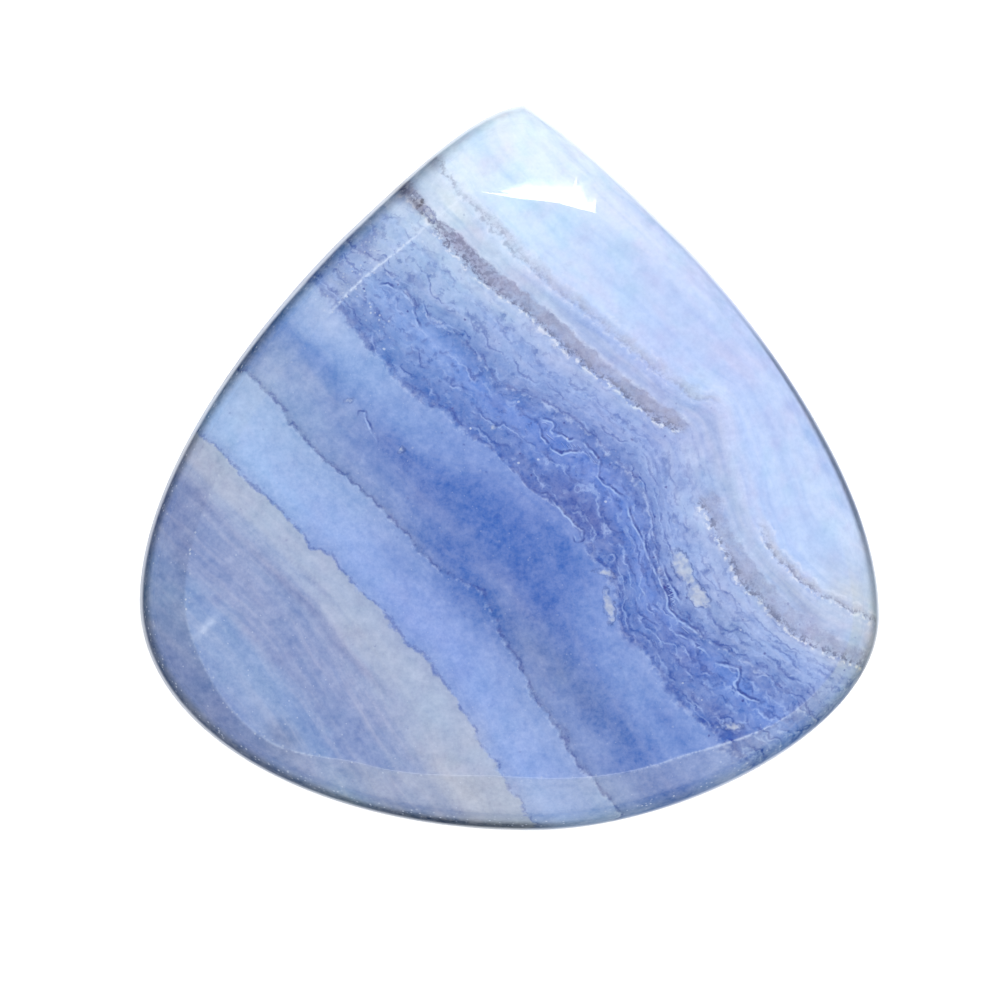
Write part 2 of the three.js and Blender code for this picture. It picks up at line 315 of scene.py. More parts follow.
# Soft clouds of a colour: the middle of each, its reach along and across the bands, and its strength.
CLOUDS_MM = {
    "pool": (
        ((-1.0, -2.6), (3.4, 1.3), 1.0),
        ((-2.3, -4.7), (2.4, 1.0), 1.0),
        ((-4.9, -4.6), (1.6, 0.6), 0.35),
        ((2.2, -4.0), (2.2, 1.2), 1.0),
        ((-1.3, -6.3), (2.8, 1.1), 1.0),
        ((1.4, -5.8), (1.8, 1.1), 0.7),
        ((5.2, -3.3), (0.9, 0.6), 0.4),
        ((2.4, 0.4), (0.8, 0.6), 0.3),
        ((8.0, -12.6), (2.0, 0.5), 0.6),
        ((5.3, -12.9), (1.7, 0.8), 0.6),
        ((-8.9, 4.9), (1.6, 0.5), 0.3),
    ),
    "violet": (
        ((3.5, -2.0), (1.9, 0.7), 1.0),
        ((8.1, -8.6), (1.6, 0.8), 0.7),
        ((-5.4, 0.9), (1.6, 0.6), 0.35),
        ((10.2, -12.0), (1.8, 0.7), 0.6),
    ),
    "milk_and_painted_sheen": (
        ((-12.4, 2.6), (1.8, 1.0), 0.3),
        ((8.6, 0.5), (1.2, 0.7), 0.5),
        ((8.9, -2.2), (1.6, 0.6), 0.4),
        ((9.9, 3.6), (1.6, 0.35), 0.7),
        ((-8.2, 6.6), (1.2, 0.7), 0.5),
        # The narrow one at the left crease is a painted highlight, the glint of a flake.
        ((-14.25, -7.45), (0.16, 0.85), 0.95),
        ((12.1, -13.3), (0.7, 0.9), 0.15),
        ((-9.7, 4.3), (1.0, 0.7), 0.25),
        ((-7.1, 2.5), (1.4, 0.7), 0.22),
        # These two lie on the bevel at the upper left and are partly a painted reflection veil.
        ((-6.7, 9.7), (1.2, 1.2), 0.65),
        ((-8.5, 8.1), (1.0, 1.1), 0.65),
        ((-7.1, 6.1), (0.9, 0.7), 0.35),
        ((-10.9, 4.2), (0.9, 0.7), 0.4),
        ((-9.0, 2.3), (0.9, 0.7), 0.2),
        ((-5.2, 8.0), (0.9, 0.8), 0.2),
        ((-5.2, 4.2), (0.9, 0.8), 0.15),
        ((6.2, 0.4), (0.8, 0.6), 0.25),
        ((0.5, -12.9), (0.9, 0.7), 0.2),
        ((4.3, -12.9), (0.9, 0.6), 0.2),
        ((10.0, -14.6), (0.7, 0.5), 0.35),
        ((15.2, -8.6), (1.3, 0.6), 0.3),
        ((-16.3, -3.4), (0.7, 0.5), 0.3),
    ),
    # The frost clouds at the tip: its palest stone, with a painted reflection veil over it.
    "frost_and_painted_veil": (
        ((0.6, 15.4), (1.9, 1.2), 0.9),
        ((3.4, 14.0), (1.6, 1.0), 0.5),
        ((-2.6, 12.4), (1.0, 0.6), 0.8),
        ((-1.6, 13.8), (1.6, 1.0), 0.8),
        ((-3.3, 11.7), (0.9, 0.7), 0.7),
    ),
    "rose": (
        ((5.6, 11.6), (3.2, 0.9), 0.5),
    ),
    "ash": (
        ((16.0, -6.0), (1.6, 1.3), 0.8),
        ((13.2, -5.6), (1.5, 0.5), 0.4),
        ((15.2, -8.6), (1.3, 0.6), 0.7),
    ),
    "haze": (
        ((-10.3, 4.4), (2.4, 1.0), 0.75),
        ((-8.2, 3.0), (1.8, 0.5), 0.4),
        ((-7.6, 8.6), (1.4, 1.2), 0.6),
    ),
    "wisp": (
        ((14.8, 0.2), (3.0, 0.9), 0.45),
        ((13.2, 2.9), (1.0, 0.3), 0.8),
        ((14.1, 1.5), (1.0, 0.35), 1.0),
        ((14.9, 0.0), (1.0, 0.35), 0.9),
        ((15.5, -1.6), (0.9, 0.3), 0.7),
        ((-4.6, 6.8), (1.9, 0.6), 0.4),
    ),
    "sand": (
        ((-2.9, -14.3), (3.2, 1.1), 0.8),
        ((-7.0, -8.2), (2.6, 0.7), 0.5),
        ((-13.9, -0.2), (2.2, 0.7), 0.7),
        ((-2.2, -13.1), (1.0, 1.6), 0.4),
    ),
    "dusk": (
        ((2.2, -9.5), (4.5, 0.9), 0.5),
        ((-9.0, 10.2), (2.5, 0.5), 0.5),
        ((9.9, -6.9), (2.2, 0.5), 0.35),
        ((-10.7, -12.7), (1.1, 0.7), 0.9),
    ),
    "plum": (
        ((-14.2, -1.9), (2.2, 0.2), 0.8),
        ((-10.3, -5.7), (2.8, 0.22), 0.9),
        ((-9.4, -5.2), (1.6, 0.12), 0.6),
        ((-7.2, -9.2), (2.4, 0.22), 0.8),
        ((-11.2, -8.8), (2.6, 0.2), 0.4),
    ),
    "ink": (
        ((-6.6, 10.9), (0.4, 1.0), 0.9),
        ((-12.0, 5.3), (0.4, 0.9), 0.5),
    ),
    "soot": (
        ((-4.95, 13.1), (0.8, 0.45), 1.4),
        ((-4.3, 12.3), (0.8, 0.25), 1.0),
        ((10.9, -4.9), (1.2, 0.3), 0.5),
        ((12.4, -6.8), (1.2, 0.25), 0.6),
        ((-3.6, 14.4), (0.5, 0.3), 0.8),
        ((14.2, -6.9), (1.6, 0.25), 0.35),
    ),
    "bruise": (
        ((-6.9, 9.7), (0.7, 1.6), 0.7),
        ((-8.6, 7.9), (0.4, 0.9), 0.6),
        ((-6.3, 7.2), (1.6, 0.5), 0.8),
    ),
}

# The tone of the stone along the bands, for the layers above the chalk: what their red and green are
# multiplied by. Their blue takes this power of it.
TONES = (
    (-13.0, 1.3), (-8.0, 1.22), (-5.0, 1.08), (-2.0, 0.98), (2.0, 0.88), (5.0, 0.9), (8.0, 0.96), (14.0, 1.0),
)
BLUE_TONE_POWER = 0.3

# Chalky chips shut in the lace: the middle of each, its half length and half width, and its turn.
CHIPS_MM = (
    ((8.1, -4.6), (0.74, 0.36), math.radians(-62)),
    ((8.5, -5.3), (0.5, 0.22), math.radians(-58)),
    ((8.88, -6.05), (0.6, 0.36), math.radians(-50)),
    ((4.7, -6.55), (0.62, 0.2), math.radians(-80)),
    ((4.5, -4.95), (0.35, 0.15), math.radians(-20)),
    ((10.4, -12.2), (0.35, 0.12), math.radians(0)),
    ((-3.75, 11.95), (0.28, 0.12), math.radians(-50)),
    ((-0.8, 1.9), (0.12, 0.1), 0.0),
    ((-5.1, 0.85), (0.1, 0.09), 0.0),
    ((-7.6, 3.15), (0.14, 0.09), 0.0),
)


def colour_property(name, description, screen_colour):
    """A colour setting whose default is given as it is to look on the stage."""
    return FloatVectorProperty(
        name=name, description=description, subtype="COLOR", size=3, default=seen(*screen_colour),
        min=0.0, max=1.0,
    )


class AgateStoneSettings(bpy.types.PropertyGroup):
    """The sizes and colours of the stone."""

    thickness: FloatProperty(
        name="Thickness", description="From the flat back to the top of the dome", unit="LENGTH",
        default=STONE_HIGH.z - STONE_LOW.z, min=0.001,
    )
    dome_fall: FloatProperty(
        name="Dome fall", description="How far the dome falls from its top to the edge", unit="LENGTH",
        default=2.0 * MM, min=0.0,
    )
    bevel_slope: FloatProperty(
        name="Bevel slope", description="Rise of the bevel over its run, beyond the dome's own slope",
        default=0.36, min=0.0, max=1.0,
    )
    crease_softness: FloatProperty(
        name="Crease softness", description="How softly the dome turns into the bevel", unit="LENGTH",
        default=0.07 * MM, min=0.0,
    )
    polish: FloatProperty(
        name="Polish roughness", description="Roughness of the polished face", subtype="FACTOR",
        default=0.05, min=0.0, max=1.0,
    )
    slate: colour_property("Slate", "The blue-grey layers at the lower left", (144, 167, 210))
    lilac: colour_property("Lilac", "The lilac streaks in the slate", (140, 158, 204))
    chalk: colour_property("Chalk", "The chalky layer", (173, 189, 220))
    powder: colour_property("Powder blue", "The clear blue layer beside the chalk", (150, 177, 234))
    smoke: colour_property("Smoke blue", "The grey-blue layer over it", (128, 151, 207))
    deep: colour_property("Deep blue", "The deep blue pools", (81, 115, 193))
    periwinkle: colour_property("Periwinkle", "The layer under the lace", (130, 157, 218))
    lace: colour_property("Lace blue", "The dark ground of the lace", (105, 133, 198))
    mist: colour_property("Mist blue", "The hazy layer over the lace", (147, 171, 223))
    pearl: colour_property("Pearl", "The pale streaks between the mauve bands", (180, 198, 236))
    sky: colour_property("Sky", "The pale layer at the upper right", (190, 212, 250))


class AgateStageSettings(bpy.types.PropertyGroup):
    """The floor, the light and the camera."""

    floor_size: FloatProperty(
        name="Floor size", description="Length of the floor's side", unit="LENGTH", default=1.2, min=0.1,
    )
    floor_colour: FloatVectorProperty(
        name="Floor colour", description="Colour of the plain floor", subtype="COLOR", size=3,
        default=(0.95, 0.95, 0.95), min=0.0, max=1.0,
    )
    even_light: FloatProperty(
        name="Even light", description="Strength of the light from all round", default=0.95, min=0.0,
    )
    side_light: FloatProperty(
        name="Side light", description="Strength of the glows on the room's walls", default=1.3, min=0.0,
    )
    softbox_light: FloatProperty(
        name="Softbox light", description="Factor on the strength of every softbox", default=1.0, min=0.0,
    )
    view_width: FloatProperty(
        name="View width", description="Width of the floor that the picture shows", unit="LENGTH",
        default=47.36 * MM, min=0.001,
    )
    view_height: FloatProperty(
        name="View height", description="Height of the camera over the floor", unit="LENGTH", default=1.0,
        min=0.05,
    )


def cubic_arc(start, handle_a, handle_b, end, shares):
    """Points on a cubic Bezier arc: its four corners weighed by the Bernstein polynomials of each share."""
    t = shares[:, None]
    corners = [np.array(corner) for corner in (start, handle_a, handle_b, end)]
    weights = ((1 - t) ** 3, 3 * (1 - t) ** 2 * t, 3 * (1 - t) * t**2, t**3)
    return sum(weight * corner for weight, corner in zip(weights, corners))


def outline():
    """The closed outline in millimetres, without its first point repeated: the arcs one after another."""
    shares = np.arange(ARC_STEPS) / ARC_STEPS
    return np.vstack([cubic_arc(*arc, shares) for arc in OUTLINE_ARCS_MM])


def outline_radius(angles):
    """How far the outline lies from the stone's middle at each angle: its own angles and distances are
    read between, as the heart is starlike about that middle."""
    from_middle = outline() - MIDDLE_MM
    own_angles = np.arctan2(from_middle[:, 1], from_middle[:, 0])
    return np.interp(angles, *sorted_pair(own_angles, np.hypot(*from_middle.T)), period=2 * math.pi)


def sorted_pair(keys, values):
    """Two arrays in the order of the first."""
    order = np.argsort(keys)
    return keys[order], values[order]


def distance_from_edge(points):
    """The distance of each point from the nearest chord of the outline, taken in groups of points."""
    start = outline()
    chord = np.roll(start, -1, axis=0) - start
    square = (chord**2).sum(1)
    nearest = []
    for group in np.array_split(points, max(1, len(points) // POINTS_AT_ONCE)):
        from_start = group[:, None, :] - start[None]
        share = np.clip((from_start * chord).sum(2) / square, 0, 1)
        gap = from_start - share[..., None] * chord
        nearest.append(np.sqrt((gap**2).sum(2).min(1)))
    return np.concatenate(nearest)


def soft_ramp(x, softness):
    """A ramp from 0 that turns softly into the line y = x: half the sum of x and the hypotenuse of x
    and the softness."""
    return (x + np.hypot(x, softness)) / 2


def bevel_width(angles):
    """The width of the bevel in millimetres at each angle, eased from one measured width to the next."""
    at, widths = np.array(BEVEL_WIDTHS_MM).T
    place = np.interp(np.degrees(angles) % 360, at, np.arange(len(at)))
    before = np.minimum(place.astype(int), len(at) - 2)
    share = place - before
    return widths[before] + (widths[before + 1] - widths[before]) * share**2 * (3 - 2 * share)


def face_height(points, stone):
    """The height of the polished face in millimetres: a dome that falls with the square of the distance
    from the middle, less three lobes of its cube, less the larger of the bevel and the tip's facet, less
    the quarter round at the rim."""
    off_middle = points - MIDDLE_MM
    angle = np.arctan2(off_middle[:, 1], off_middle[:, 0])
    share = np.hypot(*off_middle.T) / DOME_RADIUS_MM
    lobes = DOME_LOBES * share**3 * np.cos(3 * (angle - math.pi / 2))
    dome = (stone.thickness - stone.dome_fall * (share**2 - lobes)) / MM

    softness = stone.crease_softness / MM
    inward = np.maximum(distance_from_edge(points) - WALL_LEAN_MM, 0)
    bevel = stone.bevel_slope * soft_ramp(bevel_width(angle) - inward, softness)

    edge = np.subtract(TIP_EDGE_LEFT_MM, TIP_EDGE_RIGHT_MM)
    edge /= np.hypot(*edge)
    off_edge = points - TIP_EDGE_RIGHT_MM
    beyond = off_edge[:, 0] * edge[1] - off_edge[:, 1] * edge[0]
    tip_facet = TIP_SLOPE * soft_ramp(beyond, softness)

    short = np.maximum(RIM_ROUNDING_MM - inward, 0)
    rounding = RIM_ROUNDING_MM - np.sqrt(RIM_ROUNDING_MM**2 - short**2)
    return dome - np.maximum(bevel, tip_facet) - rounding


def stone_angles():
    """The angles of the steps round the stone: even steps, drawn together towards the tip by a sine."""
    even = np.arange(STEPS_ROUND) / STEPS_ROUND * 2 * math.pi
    tip_angle = math.atan2(TIP_MM[1] - MIDDLE_MM[1], TIP_MM[0] - MIDDLE_MM[0])
    return even - TIP_CROWDING * np.sin(even) + tip_angle


def face_insets(crease):
    """How far in from the wall each ring near the rim lies, by ring and step, and the last inset of all:
    crowded where the rim rounds over and at the crease of the bevel."""
    rim = RIM_ROUNDING_MM * (np.arange(RIM_STEPS) / RIM_STEPS) ** RIM_CROWDING
    bevel_from = np.full(len(crease), RIM_ROUNDING_MM)
    crease_from = crease - CREASE_REACH_MM
    shoulder_from = crease + CREASE_REACH_MM
    dome_from = crease + SHOULDER_REACH_MM
    stretches = (
        rim[:, None] * np.ones(len(crease)),
        np.linspace(bevel_from, crease_from, BEVEL_STEPS, endpoint=False),
        np.linspace(crease_from, shoulder_from, CREASE_STEPS, endpoint=False),
        np.linspace(shoulder_from, dome_from, SHOULDER_STEPS, endpoint=False),
    )
    return np.vstack(stretches), dome_from


def eased(values, width, reach, ends):
    """Values eased by a bell curve of a width in steps, which is cut off at a reach in steps. The ends say
    how the values go on past their last ones."""
    bell = np.exp(-0.5 * (np.arange(-reach, reach + 1) / width) ** 2)
    return np.convolve(np.pad(values, reach, mode=ends), bell / bell.sum(), "valid")


def stone_rings(stone):
    """The stone's section turned about its middle: the rings of the face from the middle out, then those
    down the wall and in across the back, as points in millimetres by ring and step. A ring of the face
    near the rim follows the outline, with its inset taken along the ray by the outline's slant there,
    eased by a bell curve, and the others share out the way to the middle."""
    angles = stone_angles()
    towards = np.stack([np.cos(angles), np.sin(angles)], axis=1)
    radius = outline_radius(angles)
    turn = np.angle(np.exp(1j * (np.roll(angles, -1) - np.roll(angles, 1))))
    slant = np.hypot(1, (np.roll(radius, -1) - np.roll(radius, 1)) / turn / radius)
    slant = eased(slant, SLANT_EASE, 3 * SLANT_EASE, "wrap")

    top = radius - WALL_LEAN_MM
    insets, last_inset = face_insets(bevel_width(angles))
    near_rim = [top - inset * slant for inset in insets[::-1]]
    inner = top - last_inset * slant
    dome = [inner * step / DOME_STEPS for step in range(1, DOME_STEPS + 1)]
    plan = np.stack([*dome, *near_rim])[..., None] * towards + MIDDLE_MM
    height = face_height(plan.reshape(-1, 2), stone).reshape(plan.shape[:2])
    face = np.dstack([plan, height])

    down = np.linspace(0, 1, WALL_STEPS + 1)[1:, None]
    wall_radius = top + WALL_LEAN_MM * down
    wall_height = face[-1, :, 2] + (BACK_CHAMFER_MM - face[-1, :, 2]) * down
    wall_plan = wall_radius[..., None] * towards + MIDDLE_MM
    wall = np.dstack([wall_plan, wall_height])

    back_radius = (radius - BACK_CHAMFER_MM) * np.linspace(1, 0, BACK_STEPS, endpoint=False)[:, None]
    back_plan = back_radius[..., None] * towards + MIDDLE_MM
    back = np.dstack([back_plan, np.zeros_like(back_radius)])
    return np.concatenate([face, wall, back])


def along_and_across(points):
    """A point's place along the bands, down to the right, and across them, up to the right."""
    x, y = np.asarray(points)[..., 0], np.asarray(points)[..., 1]
    return (x - y) / math.sqrt(2), (x + y) / math.sqrt(2)


def seam_lines(places):
    """Where every seam lies across the bands at each place along them. A seam runs straight between its
    points, eased by a bell curve, and stays clear of the seam below it."""
    grid = np.arange(-SEAM_REACH_MM, SEAM_REACH_MM, SEAM_STEP_MM)
    ease_width = SEAM_EASE_MM / SEAM_STEP_MM
    lines = []
    for _, points in SEAMS_MM.values():
        straight = np.interp(grid, *along_and_across(points))
        line = eased(straight, ease_width, SEAM_EASE_STEPS, "edge")
        if lines:
            line = np.maximum(line, lines[-1] + SEAM_GAP_MM)
        lines.append(line)
    return [np.interp(places, grid, line) for line in lines]


def growth_of(points, depth):
    """How far up the stone's growth each point lies, and its place along the bands, in millimetres. Between
    two seams the growth runs evenly from one's value to the other's, and outside them it goes on at the
    rate of the distance. Below the face the layers lean."""
    along, across = along_and_across(points)
    across = across + LEAN_ACROSS * depth
    along = along + LEAN_ALONG * depth
    lines = seam_lines(along)
    values = [value for value, _ in SEAMS_MM.values()]
    growth = values[0] + across - lines[0]
    for (low, low_line), (high, high_line) in pairwise(zip(values, lines)):
        share = (across - low_line) / (high_line - low_line)
        growth = np.where(share > 0, low + (high - low) * share, growth)
    growth = np.where(across > lines[-1], values[-1] + across - lines[-1], growth)
    return growth, along


def cloud_strength(points, clouds):
    """The strongest of a colour's clouds at each point: each is a bell curve in its own two reaches."""
    strength = np.zeros(len(points))
    for centre, reach, peak in clouds:
        along, across = along_and_across(points - centre)
        bell = np.exp(-((along / reach[0]) ** 2) - (across / reach[1]) ** 2)
        strength = np.maximum(strength, peak * bell)
    return strength


def chip_distance(points):
    """How far outside the nearest chip each point lies: the ellipse's own radius, less one, times its half
    width."""
    nearest = np.full(len(points), FAR_MM)
    for centre, (half_length, half_width), turn in CHIPS_MM:
        off = points - centre
        lengthwise = off[:, 0] * math.cos(turn) + off[:, 1] * math.sin(turn)
        sideways = off[:, 1] * math.cos(turn) - off[:, 0] * math.sin(turn)
        radius = np.hypot(lengthwise / half_length, sideways / half_width)
        nearest = np.minimum(nearest, (radius - 1) * half_width)
    return nearest


def thread_distance(points):
    """The distance of each point from the nearest thread, less than 0 on its right-hand side, and how
    strongly the thread shows: it tapers off towards its ends and away from it."""
    nearest = np.full(len(points), FAR_MM)
    strength = np.zeros(len(points))
    for thread in THREADS_MM.values():
        line = np.array(thread)
        chords = np.diff(line, axis=0)
        lengths = np.hypot(*chords.T)
        for start, chord, length, before in zip(line, chords, lengths, np.cumsum(lengths) - lengths):
            off = points - start
            share = np.clip(off @ chord / length**2, 0, 1)
            gap = off - share[:, None] * chord
            distance = np.hypot(*gap.T)
            side = np.where(chord[0] * off[:, 1] - chord[1] * off[:, 0] < 0, -1.0, 1.0)
            to_end = np.minimum(before + share * length, lengths.sum() - before - share * length)
            closer = distance < np.abs(nearest)
            nearest = np.where(closer, side * distance, nearest)
            strength = np.where(closer, np.clip(to_end / THREAD_TAPER_MM, 0, 1), strength)
    near, far = THREAD_REACH_MM
    return nearest, strength * np.clip((far - np.abs(nearest)) / (far - near), 0, 1)


def smooth_step(share):
    """An even share from 0 to 1 eased at both ends: its square times three less twice itself."""
    share = np.clip(share, 0, 1)
    return share**2 * (3 - 2 * share)


def all_round(table, turn):
    """The values of a table of angles and values, read between at angles in degrees."""
    return np.interp(turn, *np.array(table).T)


def bell_at(distance, reach):
    """A bell curve: 1 at no distance, and falling off with the square of the distance over a reach."""
    return np.exp(-((distance / reach) ** 2))


def rim_painted_shade(turn, edge):
    """How dark the painted shade at the rim makes the stone at angles in degrees and distances from the edge
    in millimetres.
    """
    at, shade, reach = np.array(RIM_PAINTED_SHADES).T
    return np.interp(turn, at, shade) * smooth_step(1 - (edge - RIM_LINE_MM) / np.interp(turn, at, reach))


def edge_fields(plan, on_back):
    """What the mesh keeps of the bevel, the rim and the wall: how strong the painted shade of the bevel and
    the rim, the frosting, the painted greying, the painted highlight along the crease, and the abrasion,
    partly painted glints, are at each point. They depend on the angle about the stone's middle, and on the
    distances from the edge and past the crease of the bevel."""
    off_middle = plan - MIDDLE_MM
    angle = np.arctan2(off_middle[:, 1], off_middle[:, 0])
    turn = np.degrees(angle) % 360
    edge = distance_from_edge(plan)
    past_crease = bevel_width(angle) + WALL_LEAN_MM - edge
    on_bevel = np.clip(past_crease / CREASE_STEP_MM + 0.5, 0, 1)
    greying_at_rim = smooth_step(1 - (edge - RIM_LINE_MM) / GREYING_REACH_MM)
    greying_share = GREYING_ON_BEVEL * on_bevel + (1 - GREYING_ON_BEVEL) * greying_at_rim
    crease_wear_and_glints = np.interp(turn, *np.array(CREASE_WEAR_AND_GLINTS).T, period=360)
    crease_wear_and_glints *= bell_at(past_crease, CREASE_WEAR_AND_GLINT_REACH_MM)
    rim_wear = all_round(RIM_WEAR, turn) * bell_at(edge - RIM_WEAR_LINE_MM, RIM_WEAR_REACH_MM)
    frosting = FROSTING * smooth_step((all_round(FROST_STARTS, turn) - edge) / WALL_FADE_MM)
    frosting[on_back] = BACK_FROSTING
    # The painted shade at the rim, less where the wall is frosted, and none on the back.
    rim = rim_painted_shade(turn, edge) * (1 - frosting)
    rim[on_back] = 0
    return {
        # The painted shade of the bevel.
        "bevel_painted_shade": all_round(BEVEL_PAINTED_SHADES, turn) * on_bevel,
        "rim": rim,
        "frosting": frosting,
        # The painted greying: a grey sheen on the bevel and shade at the rim.
        "dust_and_painted_greying": all_round(GREYING_ALL_ROUND, turn) * greying_share,
        # The pale line along the crease is a painted highlight.
        "crease": all_round(CREASE_HIGHLIGHTS, turn) * bell_at(past_crease, CREASE_HIGHLIGHT_MM),
        # The wear of the crease is partly painted glints; that of the rim is wear.
        "wear_and_glints": np.maximum(crease_wear_and_glints, rim_wear),
    }


def banding_fields(plan, depth):
    """What the mesh keeps of the banding: the growth and the place along the bands, the tone, the distances
    from the chips and the threads, and the strength of every kind of cloud."""
    growth, along = growth_of(plan, depth)
    above_chalk = np.clip(growth - SEAMS_MM["chalk top"][0] + 0.5, 0, 1)
    thread, thread_strength = thread_distance(plan)
    fields = {
        "growth": growth,
        "along": along,
        "tone": 1 + above_chalk * (np.interp(along, *np.array(TONES).T) - 1),
        "chip": chip_distance(plan) + depth,
        "thread": thread,
        "thread_strength": thread_strength * (depth == 0),
    }
    for name, clouds in CLOUDS_MM.items():
        fields[name] = cloud_strength(plan, clouds)
    return fields


def closed_faces(rings, steps):
    """The faces of a closed turned surface: quads between neighbouring rings, with a fan of triangles to
    a point at each end. The first point is the middle of the face and the last one the middle of the
    back."""
    step = np.arange(steps)
    after = (step + 1) % steps
    first = 1 + np.arange(rings - 1)[:, None] * steps
    quads = np.stack([first + step, first + steps + step, first + steps + after, first + after], axis=2)
    last_ring = 1 + (rings - 1) * steps
    top = np.stack([np.zeros(steps, int), 1 + step, 1 + after], axis=1)
    bottom = np.stack([np.full(steps, 1 + rings * steps), last_ring + after, last_ring + step], axis=1)
    return top, quads.reshape(-1, 4), bottom


def stone_mesh(stone):
    """The stone's mesh, with all that its materials read kept at each vertex. The faces near the rim, the
    wall and the back take the second material."""
    rings = stone_rings(stone)
    middle = np.array([MIDDLE_MM])
    crown = np.array([[*MIDDLE_MM, face_height(middle, stone)[0]]])
    root = np.array([[*MIDDLE_MM, 0.0]])
    places = np.vstack([crown, rings.reshape(-1, 3), root])
    top, quads, bottom = closed_faces(len(rings), STEPS_ROUND)

    mesh = bpy.data.meshes.new(STONE_NODE)
    mesh.from_pydata((places * MM).tolist(), [], [*top.tolist(), *quads.tolist(), *bottom.tolist()])
    mesh.polygons.foreach_set("use_smooth", np.ones(len(mesh.polygons), bool))
    face_rings = DOME_STEPS + RIM_STEPS + BEVEL_STEPS + CREASE_STEPS + SHOULDER_STEPS
    ring_of_quad = np.repeat(np.arange(len(rings) - 1), STEPS_ROUND)
    is_ground = ring_of_quad >= face_rings - 1 - MATT_STEPS
    ground = np.concatenate([np.zeros(len(top)), is_ground, np.ones(len(bottom))])
    mesh.polygons.foreach_set("material_index", ground.astype(np.int32))

    plan = places[:, :2]
    off_face = slice(1 + face_rings * STEPS_ROUND, None)
    on_back = slice(1 + (face_rings + WALL_STEPS) * STEPS_ROUND, None)
    depth = np.zeros(len(places))
    depth[off_face] = np.maximum(face_height(plan[off_face], stone) - places[off_face, 2], 0)
    for name, values in {**banding_fields(plan, depth), **edge_fields(plan, on_back)}.items():
        mesh.attributes.new(name, "FLOAT", "POINT").data.foreach_set("value", values.astype(np.float32))
    mesh.update()
    return mesh


def put(tree, kind, inputs=None, **settings):
    """A node of a kind with its settings. Each input is a value, or another node's socket to link."""
    node = tree.nodes.new(kind)
    for name, value in settings.items():
        setattr(node, name, value)
    for key, value in (inputs or {}).items():
        socket = node.inputs[key]
        if isinstance(value, bpy.types.NodeSocket):
            tree.links.new(value, socket)
        else:
            socket.default_value = value
    return node


def reckon(tree, operation, *values, clamp=False):
    """The result of a Math node on values and sockets."""
    inputs = dict(enumerate(values))
    return put(tree, "ShaderNodeMath", inputs, operation=operation, use_clamp=clamp).outputs[0]


def product(tree, first, *others, clamp=False):
    """The product of values and sockets, by a Math node for each after the first."""
    for other in others:
        first = reckon(tree, "MULTIPLY", first, other, clamp=clamp)
    return first


def distance_to(tree, value, middle):
    """How far a value is from a middle."""
    return reckon(tree, "ABSOLUTE", reckon(tree, "SUBTRACT", value, middle))


def ease(tree, value, low, high, out_low=0.0, out_high=1.0):
    """A smooth step of a value, from one output to another as it goes from low to high."""
    inputs = {"Value": value, "From Min": low, "From Max": high, "To Min": out_low, "To Max": out_high}
    return put(tree, "ShaderNodeMapRange", inputs, interpolation_type="SMOOTHSTEP").outputs[0]


def tint(tree, share, under, over, how="MIX"):
    """A colour laid over another by a share, or mixed with it in another way."""
    node = put(tree, "ShaderNodeMix", data_type="RGBA", blend_type=how, clamp_factor=True)
    for key, value in ((0, share), (6, under), (7, over)):
        if isinstance(value, bpy.types.NodeSocket):
            tree.links.new(value, node.inputs[key])
        elif key == 0:
            node.inputs[key].default_value = value
        else:
            node.inputs[key].default_value = (*value, 1.0)
    return node.outputs[2]


def noise(tree, place, scale, detail=2.0, roughness=0.5):
    """Soft noise about 0.5 at a place, with its scale in turns to the millimetre, how many finer octaves
    it has, and how strong each of them is beside the one before."""
    inputs = {"Vector": place, "Scale": scale, "Detail": detail, "Roughness": roughness}
    return put(tree, "ShaderNodeTexNoise", inputs).outputs["Fac"]


def swing(tree, place, width, scale, detail=2.0, roughness=0.5):
    """Noise about 0, which swings by at most half a width to either side."""
    return reckon(tree, "MULTIPLY_ADD", noise(tree, place, scale, detail, roughness), width, -width / 2)


def millimetres(tree):
    """The place on the stone in millimetres."""
    place = put(tree, "ShaderNodeTexCoord").outputs["Object"]
    return put(tree, "ShaderNodeVectorMath", {0: place, "Scale": 1 / MM}, operation="SCALE").outputs[0]


def kept(tree, name):
    """A value that the mesh keeps at its vertices."""
    return put(tree, "ShaderNodeAttribute", attribute_name=name).outputs["Fac"]


# The range of growth that the stone shows.
GROWTH_LOW = -19.0
GROWTH_HIGH = 15.0


def ramp(tree, growth, stops):
    """A colour ramp up the growth. Each stop has its height in the growth, and its colour or grey."""
    stops = sorted(stops, key=lambda stop: stop[0])
    shown = {"Value": growth, "From Min": GROWTH_LOW, "From Max": GROWTH_HIGH}
    share = put(tree, "ShaderNodeMapRange", shown).outputs[0]
    node = put(tree, "ShaderNodeValToRGB", {"Fac": share})
    band = node.color_ramp
    while len(band.elements) < len(stops):
        band.elements.new(0.5)
    for index, (place, _) in enumerate(stops):
        band.elements[index].position = (place - GROWTH_LOW) / (GROWTH_HIGH - GROWTH_LOW)
    for element, (_, colour) in zip(band.elements, stops):
        element.color = (*colour, 1.0) if isinstance(colour, tuple) else (colour, colour, colour, 1.0)
    return node.outputs["Color"]


def toned(colour, factor):
    """A colour made lighter or darker by a factor."""
    return tuple(min(channel * factor, 1.0) for channel in colour)


def between(colour_a, colour_b, share):
    """A colour between two others."""
    return tuple(a + (b - a) * share for a, b in zip(colour_a, colour_b))


